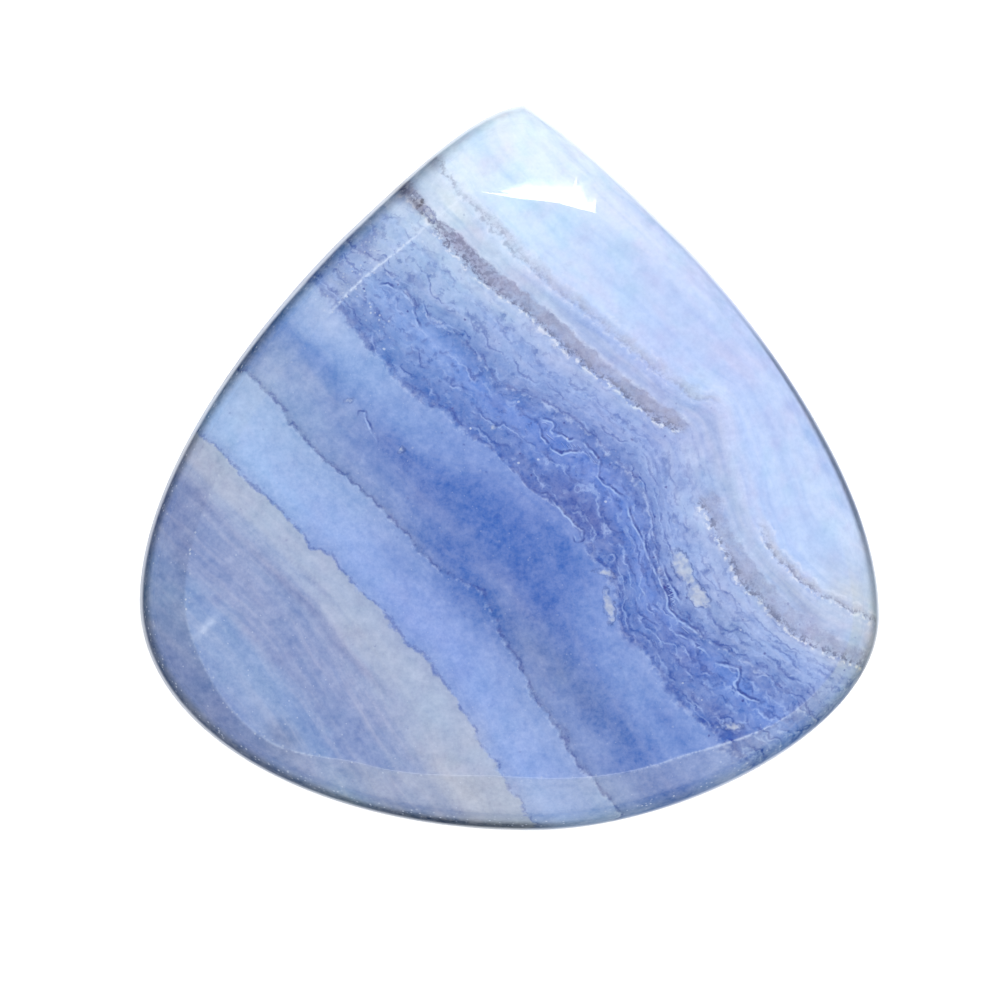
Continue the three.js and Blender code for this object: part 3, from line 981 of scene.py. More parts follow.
def lower_layers(stone):
    """The colours of the layers up to the foot of the lace, each at its height in the growth. Two close
    together are a sharp seam."""
    slate, lilac, chalk, powder = (tuple(c) for c in (stone.slate, stone.lilac, stone.chalk, stone.powder))
    smoke, deep, periwinkle = (tuple(c) for c in (stone.smoke, stone.deep, stone.periwinkle))
    return (
        (-18.5, toned(lilac, 1.08)),
        (-17.0, toned(slate, 1.06)),
        (-15.6, toned(slate, 1.06)),
        (-14.6, lilac),
        (-13.4, lilac),
        (-12.8, between(lilac, chalk, 0.15)),
        (-12.1, between(lilac, chalk, 0.35)),
        (-11.85, between(lilac, chalk, 0.45)),
        (-11.6, between(lilac, chalk, 0.75)),
        (-10.9, toned(chalk, 0.97)),
        (-10.2, toned(chalk, 0.97)),
        (-9.66, toned(chalk, 0.93)),
        (-9.58, toned(powder, 0.88)),
        (-8.6, powder),
        (-7.5, toned(powder, 0.94)),
        (-6.24, toned(powder, 0.83)),
        (-6.15, toned(smoke, 0.8)),
        (-5.9, toned(smoke, 0.95)),
        (-5.3, toned(smoke, 1.02)),
        (-4.6, between(smoke, deep, 0.36)),
        (-3.8, between(smoke, deep, 0.55)),
        (-3.1, between(deep, periwinkle, 0.5)),
        (-2.4, between(deep, periwinkle, 0.85)),
        (-1.9, periwinkle),
    )


def upper_layers(stone):
    """The colours of the layers from the foot of the lace on."""
    deep, periwinkle, lace, mist = (tuple(c) for c in (stone.deep, stone.periwinkle, stone.lace, stone.mist))
    pearl, sky = (tuple(c) for c in (stone.pearl, stone.sky))
    return (
        (-1.8, periwinkle),
        (-0.86, periwinkle),
        (-0.77, between(deep, lace, 0.1)),
        (-0.3, between(deep, lace, 0.6)),
        (0.3, toned(lace, 1.12)),
        (1.2, toned(lace, 1.28)),
        (2.05, toned(lace, 1.02)),
        (2.6, between(lace, mist, 0.5)),
        (3.3, mist),
        (4.0, toned(mist, 1.03)),
        (4.5, between(mist, pearl, 0.55)),
        (5.26, between(mist, pearl, 0.6)),
        (5.7, between(mist, pearl, 0.7)),
        (6.2, toned(pearl, 0.98)),
        (6.6, toned(pearl, 0.93)),
        (7.2, toned(pearl, 1.12)),
        (7.35, toned(pearl, 1.12)),
        (8.0, toned(sky, 1.02)),
        (9.5, toned(sky, 0.98)),
        (11.0, seen(199, 217, 250)),
    )


# How far up the growth the upper layers begin.
UPPER_LAYERS_FROM = -1.85


def layer_colours(tree, growth, stone):
    """The layers' colours up the growth, times the tone. They take two ramps, as one holds too few stops."""
    is_upper = reckon(tree, "GREATER_THAN", growth, UPPER_LAYERS_FROM)
    lower = ramp(tree, growth, lower_layers(stone))
    upper = ramp(tree, growth, upper_layers(stone))
    tone = kept(tree, "tone")
    blue_tone = reckon(tree, "POWER", tone, BLUE_TONE_POWER)
    tone_colour = put(tree, "ShaderNodeCombineColor", {0: tone, 1: tone, 2: blue_tone}).outputs[0]
    return tint(tree, 1.0, tint(tree, is_upper, lower, upper), tone_colour, "MULTIPLY")


def band_group(stone):
    """The node group of the agate's banding. It reads the growth kept in the mesh, shakes it so that every
    seam is serrated, and lays over the layers' colours, in turn, clouds (a few of them painted reflections),
    streaks, the lace and its threads, the lines at the seams, the mauve bands, darker clouds, chips, patches
    of another hue, the painted shade, grey sheen and highlight at the bevel and the rim, specks and a grain.
    It puts out the colour and a mask of what is chalky."""
    tree = bpy.data.node_groups.new("Agate banding", "ShaderNodeTree")
    tree.interface.new_socket("Colour", in_out="OUTPUT", socket_type="NodeSocketColor")
    tree.interface.new_socket("Chalkiness", in_out="OUTPUT", socket_type="NodeSocketFloat")
    group_out = put(tree, "NodeGroupOutput")

    place = millimetres(tree)
    along = kept(tree, "along")
    growth = shaken_growth(tree, place)
    colour = layer_colours(tree, growth, stone)
    colour = with_clouds(tree, colour, place, CLOUDS_UNDER)
    colour = with_streaks(tree, colour, along, place)
    colour = with_lace(tree, colour, growth, along, place)
    colour = with_threads(tree, colour, place)
    colour = with_seams(tree, colour, growth, place)
    colour = with_mauve_bands(tree, colour, growth, along, place)
    colour = with_clouds(tree, colour, place, CLOUDS_OVER)
    colour, chalkiness = with_chips(tree, colour, place)
    colour = with_hue_patches(tree, colour, growth, place)
    colour = with_painted_edge_light_and_shade(tree, colour, place)
    colour = with_specks(tree, colour, growth, place)
    colour = with_grain(tree, colour, growth, place)
    tree.links.new(colour, group_out.inputs["Colour"])
    tree.links.new(chalkiness, group_out.inputs["Chalkiness"])
    return tree


# The noises that shake the growth, from a slow sway to grit: how far each swings it in all, and its turns
# to the millimetre, octaves and their strength.
SHAKES = ((0.3, 0.5, 1.0, 0.5), (0.4, 1.7, 2.0, 0.6), (0.28, 4.2, 2.0, 0.7), (0.1, 11.0, 1.0, 0.5))
# The scallops: cells to the millimetre, how deep they are, and how far the growth is lifted to make up for
# them.
SCALLOP_SCALE = 1.5
SCALLOP_DEPTH = 0.2
SCALLOP_LIFT = 0.05


def shaken_growth(tree, place):
    """The growth with its seams made uneven: by shallow scallops that meet in points, and by the shakes."""
    cells = put(tree, "ShaderNodeTexVoronoi", {"Vector": place, "Scale": SCALLOP_SCALE}).outputs["Distance"]
    bowls = reckon(tree, "POWER", cells, 2.0)
    scallops = reckon(tree, "MULTIPLY_ADD", bowls, -SCALLOP_DEPTH, SCALLOP_LIFT)
    growth = reckon(tree, "ADD", kept(tree, "growth"), scallops)
    for shake in SHAKES:
        growth = reckon(tree, "ADD", growth, swing(tree, place, *shake))
    return growth


# The colour of each kind of cloud and its strength: of the clouds under the lace, and of those laid over
# the bands.
CLOUDS_UNDER = {
    "pool": (seen(72, 111, 192), 0.8),
    "violet": (seen(92, 106, 176), 0.85),
    "milk_and_painted_sheen": (seen(206, 221, 250), 0.7),
    "frost_and_painted_veil": (seen(240, 247, 255), 0.65),
    "rose": (seen(216, 226, 252), 0.7),
    "ash": (seen(194, 201, 214), 0.75),
    "haze": (seen(154, 174, 214), 0.75),
    "wisp": (seen(160, 186, 236), 0.75),
    "sand": (seen(184, 189, 208), 0.7),
    "dusk": (seen(108, 128, 174), 0.8),
    "plum": (seen(124, 134, 182), 0.6),
    "ink": (seen(82, 110, 176), 0.8),
}
CLOUDS_OVER = {
    "soot": (seen(104, 106, 132), 0.55),
    "bruise": (seen(96, 118, 180), 0.15),
}
# How uneven the clouds are: the swing of the noise that their strength is multiplied by.
CLOUD_SWING = 1.4


def with_clouds(tree, colour, place, kinds):
    """Soft clouds with uneven edges, each kind with its colour and its strength."""
    drift = reckon(tree, "ADD", 1.0, swing(tree, place, CLOUD_SWING, 1.1))
    for name, (shade, strength) in kinds.items():
        cloud = product(tree, kept(tree, name), drift)
        colour = tint(tree, product(tree, cloud, strength, clamp=True), colour, shade)
    return colour


# How strong the streaks are up the growth.
STREAK_STRENGTHS = (
    (-17.5, 0.5), (-15.5, 0.8), (-11.9, 0.8), (-10.8, 0.4), (-9.0, 0.2), (-5.5, 0.35), (-2.0, 0.25),
    (0.0, 0.3), (3.0, 0.5), (5.2, 0.7), (6.1, 1.0), (7.3, 1.0), (8.2, 0.7), (9.2, 0.5), (11.0, 0.6),
    (12.5, 0.9),
)
# The coarse streaks and the fine ones: turns to the millimetre along the bands and up the growth, and how
# strong they are.
STREAKS = ((0.12, 0.8, 0.75), (0.2, 2.6, 0.55))
BLUE_STREAK = (0.74, 0.81, 0.93)
ROSY_STREAK = seen(228, 226, 242)
ROSY_STREAK_SHARE = 0.24


def banded_place(tree, along, growth, stretch, fineness=1.0):
    """The place by the bands: along them by a stretch, and up the growth by a fineness."""
    steps = {"X": product(tree, along, stretch), "Y": product(tree, growth, fineness)}
    return put(tree, "ShaderNodeCombineXYZ", steps).outputs[0]


def with_streaks(tree, colour, along, place):
    """Fine layers within each layer, straighter than the seams: noise drawn out along the bands makes blue
    streaks and pale rosy ones, strongest in the slate and between the mauve bands."""
    growth = reckon(tree, "ADD", kept(tree, "growth"), swing(tree, place, 0.5, 0.45, 1.0))
    where = ramp(tree, growth, STREAK_STRENGTHS)
    for stretch, fineness, strength in STREAKS:
        streak = noise(tree, banded_place(tree, along, growth, stretch, fineness), 1.0, 3.0)
        share = product(tree, where, strength)
        blue = product(tree, ease(tree, streak, 0.52, 0.3), share)
        rosy = product(tree, ease(tree, streak, 0.48, 0.7), share)
        colour = tint(tree, blue, colour, tint(tree, 1.0, colour, BLUE_STREAK, "MULTIPLY"))
        colour = tint(tree, rosy, colour, tint(tree, ROSY_STREAK_SHARE, colour, ROSY_STREAK))
    return colour


# How clear the lace is up the growth, and where along the bands more of it sets in past their bend.
LACE_STRENGTHS = (
    (-1.1, 0.0), (-0.7, 0.9), (1.0, 1.0), (2.6, 0.9), (4.4, 0.6), (5.2, 0.3), (6.5, 0.05), (7.8, 0.0),
)
LACE_BEND_MM = (3.6, 5.5)
# The mottles of the lace: turns to the millimetre, where in the noise one begins and is full, its
# strength and its colour. They are drawn out along the bands.
LACE_STRETCH = 0.6
LACE_MOTTLES = (
    (1.5, 0.5, 0.7, 0.4, seen(82, 104, 176)),
    (1.1, 0.48, 0.32, 0.3, seen(152, 178, 236)),
    (3.4, 0.56, 0.66, 0.45, seen(70, 94, 168)),
    (3.0, 0.42, 0.32, 0.3, seen(166, 190, 240)),
)
# The threads of the lace, all over it and past the bend: the swing, turns, octaves and their strength of the
# noise that shakes the growth, how many cuts there are to a unit of it, and the turns to the millimetre of
# the noises that choose where the pale threads show and the dark ones.
LACE_THREADS = (
    ((1.7, 0.75, 2.0, 0.55), 1.1, 0.9, 0.7),
    ((0.7, 1.3, 2.0, 0.6), 1.5, 1.2, 1.0),
)
LACE_THREAD_HALF = 0.065
LACE_PALE = seen(166, 191, 243)
LACE_PALE_SHARE = 0.5
LACE_DARK = seen(62, 90, 168)
LACE_DARK_SHARE = 0.65


def with_lace(tree, colour, growth, along, place):
    """The lace: the growth shaken until it nearly closes on itself is cut at even heights, and each cut is
    a pale thread, a dark one, or both side by side, with more of them past the bend of the layers. Dark
    and pale mottles lie between them."""
    where = ramp(tree, growth, LACE_STRENGTHS)
    lane = banded_place(tree, along, growth, LACE_STRETCH)
    for scale, low, high, strength, shade in LACE_MOTTLES:
        mottle = product(tree, ease(tree, noise(tree, lane, scale, 2.0, 0.6), low, high), where, strength)
        colour = tint(tree, mottle, colour, shade)

    past_bend = product(tree, where, ease(tree, along, *LACE_BEND_MM))
    for (shake, cuts, pale_turns, dark_turns), strength in zip(LACE_THREADS, (where, past_bend)):
        height = product(tree, reckon(tree, "ADD", growth, swing(tree, place, *shake)), cuts)
        phase = reckon(tree, "FRACT", height)
        half = LACE_THREAD_HALF * cuts
        pale = ease(tree, distance_to(tree, phase, 0.5 - half), half * 1.6, 0.0)
        dark = ease(tree, distance_to(tree, phase, 0.5 + half), half * 2, 0.0)
        pale_here = ease(tree, noise(tree, place, pale_turns), 0.45, 0.6)
        dark_here = ease(tree, noise(tree, place, dark_turns), 0.42, 0.58)
        dark_share = product(tree, dark, dark_here, strength, LACE_DARK_SHARE)
        pale_share = product(tree, pale, pale_here, strength, LACE_PALE_SHARE)
        colour = tint(tree, dark_share, colour, LACE_DARK)
        colour = tint(tree, pale_share, colour, LACE_PALE)
    return colour


# The two lines of a drawn thread: how far it lies to the left, its half width, its strength and its colour.
THREAD_LINES = (
    (0.06, 0.09, 0.85, seen(60, 86, 160)),
    (-0.05, 0.07, 0.7, seen(170, 196, 246)),
)


def with_threads(tree, colour, place):
    """The threads kept in the mesh, with a wobble: the pale line and the dark one on its left-hand side."""
    gap = reckon(tree, "ADD", kept(tree, "thread"), swing(tree, place, 0.26, 2.2))
    uneven = ease(tree, noise(tree, place, 1.6, 2.0, 0.6), 0.36, 0.58, 0.1, 1.0)
    strength = product(tree, kept(tree, "thread_strength"), uneven)
    for centre, half, share, shade in THREAD_LINES:
        line = ease(tree, distance_to(tree, gap, centre), half, half * 0.2)
        colour = tint(tree, product(tree, line, strength, share), colour, shade)
    return colour


# The seams that are drawn with a line: how far up the growth, how strong the dark line is and how wide,
# and the same of the pale line below it. Then the lines' colours.
SEAM_LINES = (
    (-9.6, 0.55, 0.1, 0.35, 0.12),
    (-6.2, 0.95, 0.14, 0.3, 0.1),
    (-0.8, 1.0, 0.18, 0.8, 0.17),
    (2.2, 0.6, 0.12, 0.6, 0.12),
    (4.0, 0.55, 0.12, 0.55, 0.12),
)
SEAM_DARK = seen(56, 80, 156)
SEAM_PALE = seen(196, 214, 250)


def line_stops(start, peak, end, strength):
    """The stops of a line that rises from a start to its strength at a peak, and is gone at an end."""
    return (start, 0.0), (peak, strength), (end, 0.0)


def with_seams(tree, colour, growth, place):
    """A thin dark line on each seam and a pale one below it, both broken up along their length."""
    dark_stops = []
    pale_stops = []
    for height, dark, dark_width, pale, pale_width in SEAM_LINES:
        dark_stops += line_stops(height - 0.03, height + 0.04, height + dark_width, dark)
        pale_stops += line_stops(height - pale_width, height - 0.06, height + 0.01, pale)
    broken = ease(tree, noise(tree, place, 2.0, 3.0, 0.7), 0.4, 0.54)
    dashes = ease(tree, noise(tree, place, 3.0, 2.0, 0.65), 0.46, 0.6)
    colour = tint(tree, product(tree, ramp(tree, growth, dark_stops), broken), colour, SEAM_DARK)
    return tint(tree, product(tree, ramp(tree, growth, pale_stops), dashes), colour, SEAM_PALE)


# The mauve bands: the foot and the top of each in the growth, the place along it where the layers bend
# round and it leaves off, how far from there it is gone and back again, how strong its colour is before the
# bend and past it, how strong its grains and crumbs are, and its colour.
MAUVE_BANDS = (
    (5.3, 6.08, 5.95, 1.2, 1.7, (0.9, 0.5), (1.0, 1.0), seen(158, 163, 194)),
    (7.3, 7.75, 7.5, 2.3, 3.6, (0.5, 0.7), (0.42, 0.9), seen(188, 195, 214)),
)
# Where along the bands the upper end of the mauve ones thickens with grains, where it is thinner and by how
# much, and where the mix of dark grains and white ones at the rim begins and is full.
MAUVE_UPPER_END_MM = (-3.0, -10.0)
MAUVE_THIN_END_MM = (-9.2, -10.6)
MAUVE_THINNING_MM = 0.3
SALT_END_MM = (-10.8, -11.8)
# What the mauve bands are strewn with.
MAUVE_GRAIN = seen(92, 94, 126)
MAUVE_FOOT = seen(84, 88, 122)
MAUVE_THREAD = seen(218, 228, 251)
MAUVE_CRUMB = seen(224, 231, 248)
DARK_SALT = seen(48, 52, 80)
WHITE_SALT = seen(176, 182, 204)


def mauve_profiles(foot, top):
    """What lies in a mauve band from its foot to its top, as stops up the growth: its body, the grains in
    it and at its foot, the crumbs under it and the thread on top of it."""
    return {
        "body": ((foot - 0.04, 0.0), (foot + 0.05, 1.0)),
        "grains": ((foot - 0.02, 0.0), (foot + 0.06, 0.5)),
        "foot": (*line_stops(foot - 0.06, foot + 0.03, foot + 0.3, 0.95), (foot + 0.16, 0.25)),
        "crumbs": line_stops(foot - 0.3, foot - 0.1, foot - 0.01, 1.0),
        "thread": line_stops(top - 0.02, top + 0.07, top + 0.16, 0.85),
    }


def with_mauve_bands(tree, colour, growth, along, place):
    """The two mauve bands: each comes and goes in blotches and is thinner at its upper end. Dark grains
    lie in it, most of them at its foot, white crumbs are strung along under it, and a pale thread on top.
    At the rim the upper end is a mix of dark grains and white ones."""
    blotches = ease(tree, noise(tree, place, 1.2, 3.0, 0.6), 0.32, 0.6, 0.45, 1.0)
    coarse = ease(tree, noise(tree, place, 3.4, 2.0, 0.6), 0.48, 0.6)
    fine = ease(tree, noise(tree, place, 7.0, 2.0, 0.6), 0.5, 0.62)
    grains = reckon(tree, "MAXIMUM", coarse, product(tree, fine, 0.7))
    crumbs = ease(tree, noise(tree, place, 3.0, 2.0, 0.65), 0.47, 0.58)
    dashes = ease(tree, noise(tree, place, 1.4, 2.0, 0.6), 0.42, 0.55)
    upper_end = ease(tree, along, *MAUVE_UPPER_END_MM)
    at_rim = ease(tree, along, *SALT_END_MM)
    thin_end = ease(tree, along, *MAUVE_THIN_END_MM)
    thinned = reckon(tree, "MULTIPLY_ADD", thin_end, MAUVE_THINNING_MM, growth)
    for foot, top, bend, gone, back, fills, lines, shade in MAUVE_BANDS:
        present = ease(tree, distance_to(tree, along, bend), gone, back, 0.06, 1.0)
        fill = product(tree, present, ease(tree, along, bend - 1.0, bend + 1.0, *fills))
        line = product(tree, present, ease(tree, along, bend - 1.0, bend + 1.0, *lines))
        grain_fill = product(tree, line, ease(tree, upper_end, 0.0, 1.0, 0.25, 1.0))
        salt = product(tree, line, at_rim)
        profiles = mauve_profiles(foot, top)
        below = ramp(tree, thinned, ((top - 0.12, 1.0), (top + 0.04, 0.0)))
        layers = (
            ("body", growth, below, blotches, fill, shade),
            ("grains", growth, below, grains, grain_fill, MAUVE_GRAIN),
            ("foot", growth, below, grains, line, MAUVE_FOOT),
            ("thread", thinned, 1.0, dashes, fill, MAUVE_THREAD),
            ("crumbs", growth, below, crumbs, line, MAUVE_CRUMB),
            ("body", growth, below, coarse, salt, DARK_SALT),
            ("body", growth, below, crumbs, salt, WHITE_SALT),
        )
        for name, field, cut, pattern, strength, layer_shade in layers:
            share = product(tree, ramp(tree, field, profiles[name]), cut, strength, pattern)
            colour = tint(tree, share, colour, layer_shade)
    return colour


# The chips: the line round them and its strength, the two shades of their chalk, and how strong that is.
CHIP_OUTLINE = seen(70, 90, 152)
CHIP_OUTLINE_SHARE = 0.6
CHIP_DARK = seen(150, 168, 208)
CHIP_PALE = seen(200, 208, 224)
CHIP_SHARE = 0.75


def with_chips(tree, colour, place):
    """The chalky chips, with ragged edges and a faint dark line round them, and the mask of them."""
    gap = reckon(tree, "ADD", kept(tree, "chip"), swing(tree, place, 0.5, 2.8, 3.0, 0.65))
    inside = ease(tree, gap, 0.07, -0.1)
    broken = ease(tree, noise(tree, place, 1.9), 0.35, 0.6)
    outline_mask = ease(tree, distance_to(tree, gap, 0.06), 0.07, 0.0)
    colour = tint(tree, product(tree, outline_mask, broken, CHIP_OUTLINE_SHARE), colour, CHIP_OUTLINE)
    chalk = tint(tree, ease(tree, noise(tree, place, 2.5), 0.35, 0.65), CHIP_DARK, CHIP_PALE)
    return tint(tree, product(tree, inside, CHIP_SHARE), colour, chalk), inside


# What the painted shade of the bevel and its painted grey sheen multiply the colour by, the painted highlight
# along the crease and its strength, and the colour of the painted shade at the rim.
BEVEL_SHADE_TINT = (0.6, 0.64, 0.84)
GREYING_TINT = (1.0, 0.93, 0.64)
CREASE_HIGHLIGHT_COLOUR = seen(206, 222, 250)
CREASE_HIGHLIGHT_SHARE = 0.85
RIM_SHADE_COLOUR = (0.0, 0.005, 0.015)


def with_painted_edge_light_and_shade(tree, colour, place):
    """The painted shade of the bevel, its painted grey sheen, the painted highlight along its crease as a
    pale broken line, and the painted shade of the rim, dark grey."""
    colour = tint(tree, kept(tree, "bevel_painted_shade"), colour, BEVEL_SHADE_TINT, "MULTIPLY")
    colour = tint(tree, kept(tree, "dust_and_painted_greying"), colour, GREYING_TINT, "MULTIPLY")
    broken = ease(tree, noise(tree, place, 3.2, 2.0, 0.65), 0.36, 0.58)
    colour = tint(tree, product(tree, kept(tree, "crease"), broken, CREASE_HIGHLIGHT_SHARE), colour, CREASE_HIGHLIGHT_COLOUR)
    grit = reckon(tree, "ADD", 1.0, swing(tree, place, 0.5, 3.5, 2.0, 0.65))
    return tint(tree, product(tree, kept(tree, "rim"), grit, clamp=True), colour, RIM_SHADE_COLOUR)


# The specks: cells to the millimetre, a speck's radius in cells, the share of cells without one, how
# strong it is, its colour, and where it lies in the growth.
SPECKS = (
    (2.2, 0.17, 0.92, 0.6, seen(214, 226, 250), (
        (-8.0, 0.1), (-1.5, 0.3), (-0.7, 1.0), (3.0, 0.7), (5.3, 0.8), (6.2, 0.2), (8.5, 0.0),
    )),
    (1.9, 0.15, 0.86, 0.8, seen(50, 70, 146), (
        (-9.0, 0.2), (-6.5, 0.3), (-1.5, 0.3), (-0.7, 1.0), (4.0, 0.8), (6.0, 0.4), (8.5, 0.0),
    )),
    (5.2, 0.24, 0.93, 0.55, seen(204, 214, 242), (
        (-18.0, 1.0), (-13.0, 0.8), (-10.5, 0.5), (-6.0, 0.4), (3.0, 0.4), (7.0, 0.3), (9.0, 0.0),
    )),
)

# The specks of wear, on the bruised bevel and along its crease, in the same way; the pale ones are partly
# painted glints.
WEAR_AND_GLINT_SPECKS = (
    (3.4, 0.26, 0.6, 0.7, seen(66, 92, 166)),
    (4.6, 0.32, 0.55, 0.8, seen(206, 216, 236)),
)


def with_specks(tree, colour, growth, place):
    """White and dark specks: the middles of some of the cells of a Voronoi texture, with ragged edges."""
    ragged = swing(tree, place, 0.3, 6.0, 2.0, 0.6)
    bruise = kept(tree, "bruise")
    wear_and_glint_mask = reckon(tree, "MAXIMUM", bruise, kept(tree, "wear_and_glints"))
    kinds = [(*kind, ramp(tree, growth, stops)) for *kind, stops in SPECKS]
    # The pale specks on the bruise and along the crease are partly painted glints.
    kinds += [(*WEAR_AND_GLINT_SPECKS[0], bruise), (*WEAR_AND_GLINT_SPECKS[1], wear_and_glint_mask)]
    for scale, size, rarity, strength, shade, where in kinds:
        cells = put(tree, "ShaderNodeTexVoronoi", {"Vector": place, "Scale": scale})
        reach = reckon(tree, "ADD", cells.outputs["Distance"], ragged)
        dot = ease(tree, reach, size, size * 0.4)
        lot = put(tree, "ShaderNodeSeparateColor", {0: cells.outputs["Color"]}).outputs[0]
        chosen = reckon(tree, "GREATER_THAN", lot, rarity)
        colour = tint(tree, product(tree, dot, chosen, where, strength), colour, shade)
    return colour


# The patches of another hue: turns of their noise to the millimetre, what they multiply the colour by, and
# how strong they are.
HUE_PATCHES = (
    (0.5, (1.02, 0.93, 0.95), 0.7),
    (0.63, (0.88, 0.98, 0.97), 0.7),
    (1.3, (1.02, 0.95, 0.97), 0.5),
)


def with_hue_patches(tree, colour, growth, place):
    """Faint patches that are rosier or greener than the layer that they lie in, clearest in the sky."""
    amount = ease(tree, growth, 3.0, 8.0, 0.5, 1.0)
    for scale, shade, strength in HUE_PATCHES:
        patch = ease(tree, noise(tree, place, scale, 2.0, 0.55), 0.48, 0.7, 0.0, strength)
        colour = tint(tree, product(tree, patch, amount), colour, shade, "MULTIPLY")
    return colour


# The grain: turns of its noise to the millimetre, and how strongly it lightens and darkens.
GRAINS = ((11.0, 0.02), (4.5, 0.04), (1.5, 0.05))


def with_grain(tree, colour, growth, place):
    """A fine grain, which adds light or takes it away evenly in every channel, as haze in the stone does.
    The pale sky is smoother."""
    amount = ease(tree, growth, 6.5, 9.0, 1.0, 0.8)
    for scale, strength in GRAINS:
        level = noise(tree, place, scale, 2.0, 0.6)
        grey = put(tree, "ShaderNodeCombineColor", {0: level, 1: level, 2: level}).outputs[0]
        colour = tint(tree, product(tree, amount, strength), colour, grey, "LINEAR_LIGHT")
    return colour


def new_material(name):
    """An empty node material, with its tree, its Principled shader and a link to the output."""
    material = bpy.data.materials.new(name)
    material.use_nodes = True
    tree = material.node_tree
    tree.nodes.clear()
    shader = put(tree, "ShaderNodeBsdfPrincipled")
    put(tree, "ShaderNodeOutputMaterial", {"Surface": shader.outputs[0]})
    return material, tree, shader


# How strongly agate bends light, how much the gloss varies over the face, and how much duller the chalk is.
AGATE_IOR = 1.54
GLOSS_SWING = 0.04
CHALK_DULLNESS = 0.15


def polished_agate(stone, banding):
    """The polished face: the banding under a clear gloss, a little duller on the chalk. A grain too fine to
    see softens what the face mirrors."""
    material, tree, shader = new_material("Polished agate")
    bands = put(tree, "ShaderNodeGroup", node_tree=banding)
    tree.links.new(bands.outputs["Colour"], shader.inputs["Base Color"])
    place = millimetres(tree)
    gloss = reckon(tree, "ADD", swing(tree, place, GLOSS_SWING, 0.8), stone.polish)
    dull = reckon(tree, "MULTIPLY_ADD", bands.outputs["Chalkiness"], CHALK_DULLNESS, gloss)
    tree.links.new(dull, shader.inputs["Roughness"])
    shader.inputs["IOR"].default_value = AGATE_IOR
    grain = put(tree, "ShaderNodeBump", {
        "Height": noise(tree, place, 15.0, 1.0), "Strength": 0.012, "Distance": 0.025 * MM,
    })
    tree.links.new(grain.outputs[0], shader.inputs["Normal"])
    return material


# What the painted sheen adds to the ground stone away from the rim's painted shade, in place of the gloss
# that it lacks, the frost on its wall and back, and the dust in patches all over it.
GROUND_PAINTED_SHEEN = (0.022, 0.023, 0.025)
FROST_COLOUR = (0.6, 0.62, 0.66)
GROUND_DUST = seen(140, 146, 170)
GROUND_DUST_SHARE = 0.12
# The turns of the saw marks to the millimetre, along the saw's way and across it.
SAW_MARKS = (0.6, 9.0, 9.0)


def ground_agate(banding):
    """The wall, the back and the rim: the same banding, sawn and ground, dusty and matt, with a painted sheen
    where the rim is not shaded, and frosted where the mesh keeps it so."""
    material, tree, shader = new_material("Ground agate")
    bands = put(tree, "ShaderNodeGroup", node_tree=banding)
    place = millimetres(tree)
    off_rim = reckon(tree, "SUBTRACT", 1.0, kept(tree, "rim"), clamp=True)
    colour = tint(tree, off_rim, bands.outputs["Colour"], GROUND_PAINTED_SHEEN, "ADD")
    colour = tint(tree, kept(tree, "frosting"), colour, FROST_COLOUR)
    dust_and_painted_greying = ease(tree, noise(tree, place, 1.2, 4.0, 0.65), 0.35, 0.75, 0.0, GROUND_DUST_SHARE)
    tree.links.new(tint(tree, dust_and_painted_greying, colour, GROUND_DUST), shader.inputs["Base Color"])
    tree.links.new(ease(tree, noise(tree, place, 4.0), 0.3, 0.7, 0.6, 0.8), shader.inputs["Roughness"])
    shader.inputs["Specular IOR Level"].default_value = 0.0
    sawn = put(tree, "ShaderNodeMapping", {"Vector": place, "Scale": SAW_MARKS}).outputs[0]
    marks = put(tree, "ShaderNodeBump", {
        "Height": noise(tree, sawn, 1.0, 3.0), "Strength": 0.25, "Distance": 0.03 * MM,
    })
    tree.links.new(marks.outputs[0], shader.inputs["Normal"])
    return material


class AGATE_OT_cut_stone(bpy.types.Operator):
    """Cut and polish the agate heart"""

    bl_idname = "agate.cut_stone"
    bl_label = "Cut the stone"

    def execute(self, context):
        stone = context.scene.agate_stone
        mesh = stone_mesh(stone)
        banding = band_group(stone)
        mesh.materials.append(polished_agate(stone, banding))
        mesh.materials.append(ground_agate(banding))
        heart = bpy.data.objects.new("polished_agate_heart", mesh)
        context.scene.collection.objects.link(heart)
        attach(heart, "root")
        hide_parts(STONE_NODE)
        return {"FINISHED"}


# Where the middle of the picture lies on the stone.
VIEW_CENTRE_MM = (-0.45, -1.52)
SENSOR_WIDTH_MM = 36.0

# The softboxes, all as far off the stone in metres: where each stands by azimuth from +X and height in
# degrees, its width and height in metres, its roll in degrees and its power in watts.
SOFTBOX_DISTANCE = 0.5
SOFTBOXES = {
    "tip strip": (76.4, 40.1, (0.104, 0.07), 12.0, 0.35),
    "tip side strip": (85.0, 43.8, (0.045, 0.11), -28.0, 0.225),
    "tip corner strip": (84.5, 40.8, (0.025, 0.06), 30.0, 0.075),
    "left strip": (127.0, 49.0, (0.13, 0.1), 0.0, 0.06),
    "front strip": (283.0, 50.0, (0.5, 0.05), 0.0, 0.25),
}

# The glows on the room's walls: the azimuth and height of each in degrees, how narrow it is, and its
# strength over that of the side light.
ROOM_GLOWS = (
    (45.0, 45.0, 6.0, 1.0),
    (128.0, 30.0, 26.0, 1.0),
    (262.0, 27.0, 30.0, 1.7),
    (302.0, 27.0, 30.0, 1.5),
)


def pointing(azimuth, elevation):
    """The unit vector towards an azimuth and a height in degrees."""
    turn, rise = math.radians(azimuth), math.radians(elevation)
    return Vector((math.cos(rise) * math.cos(turn), math.cos(rise) * math.sin(turn), math.sin(rise)))


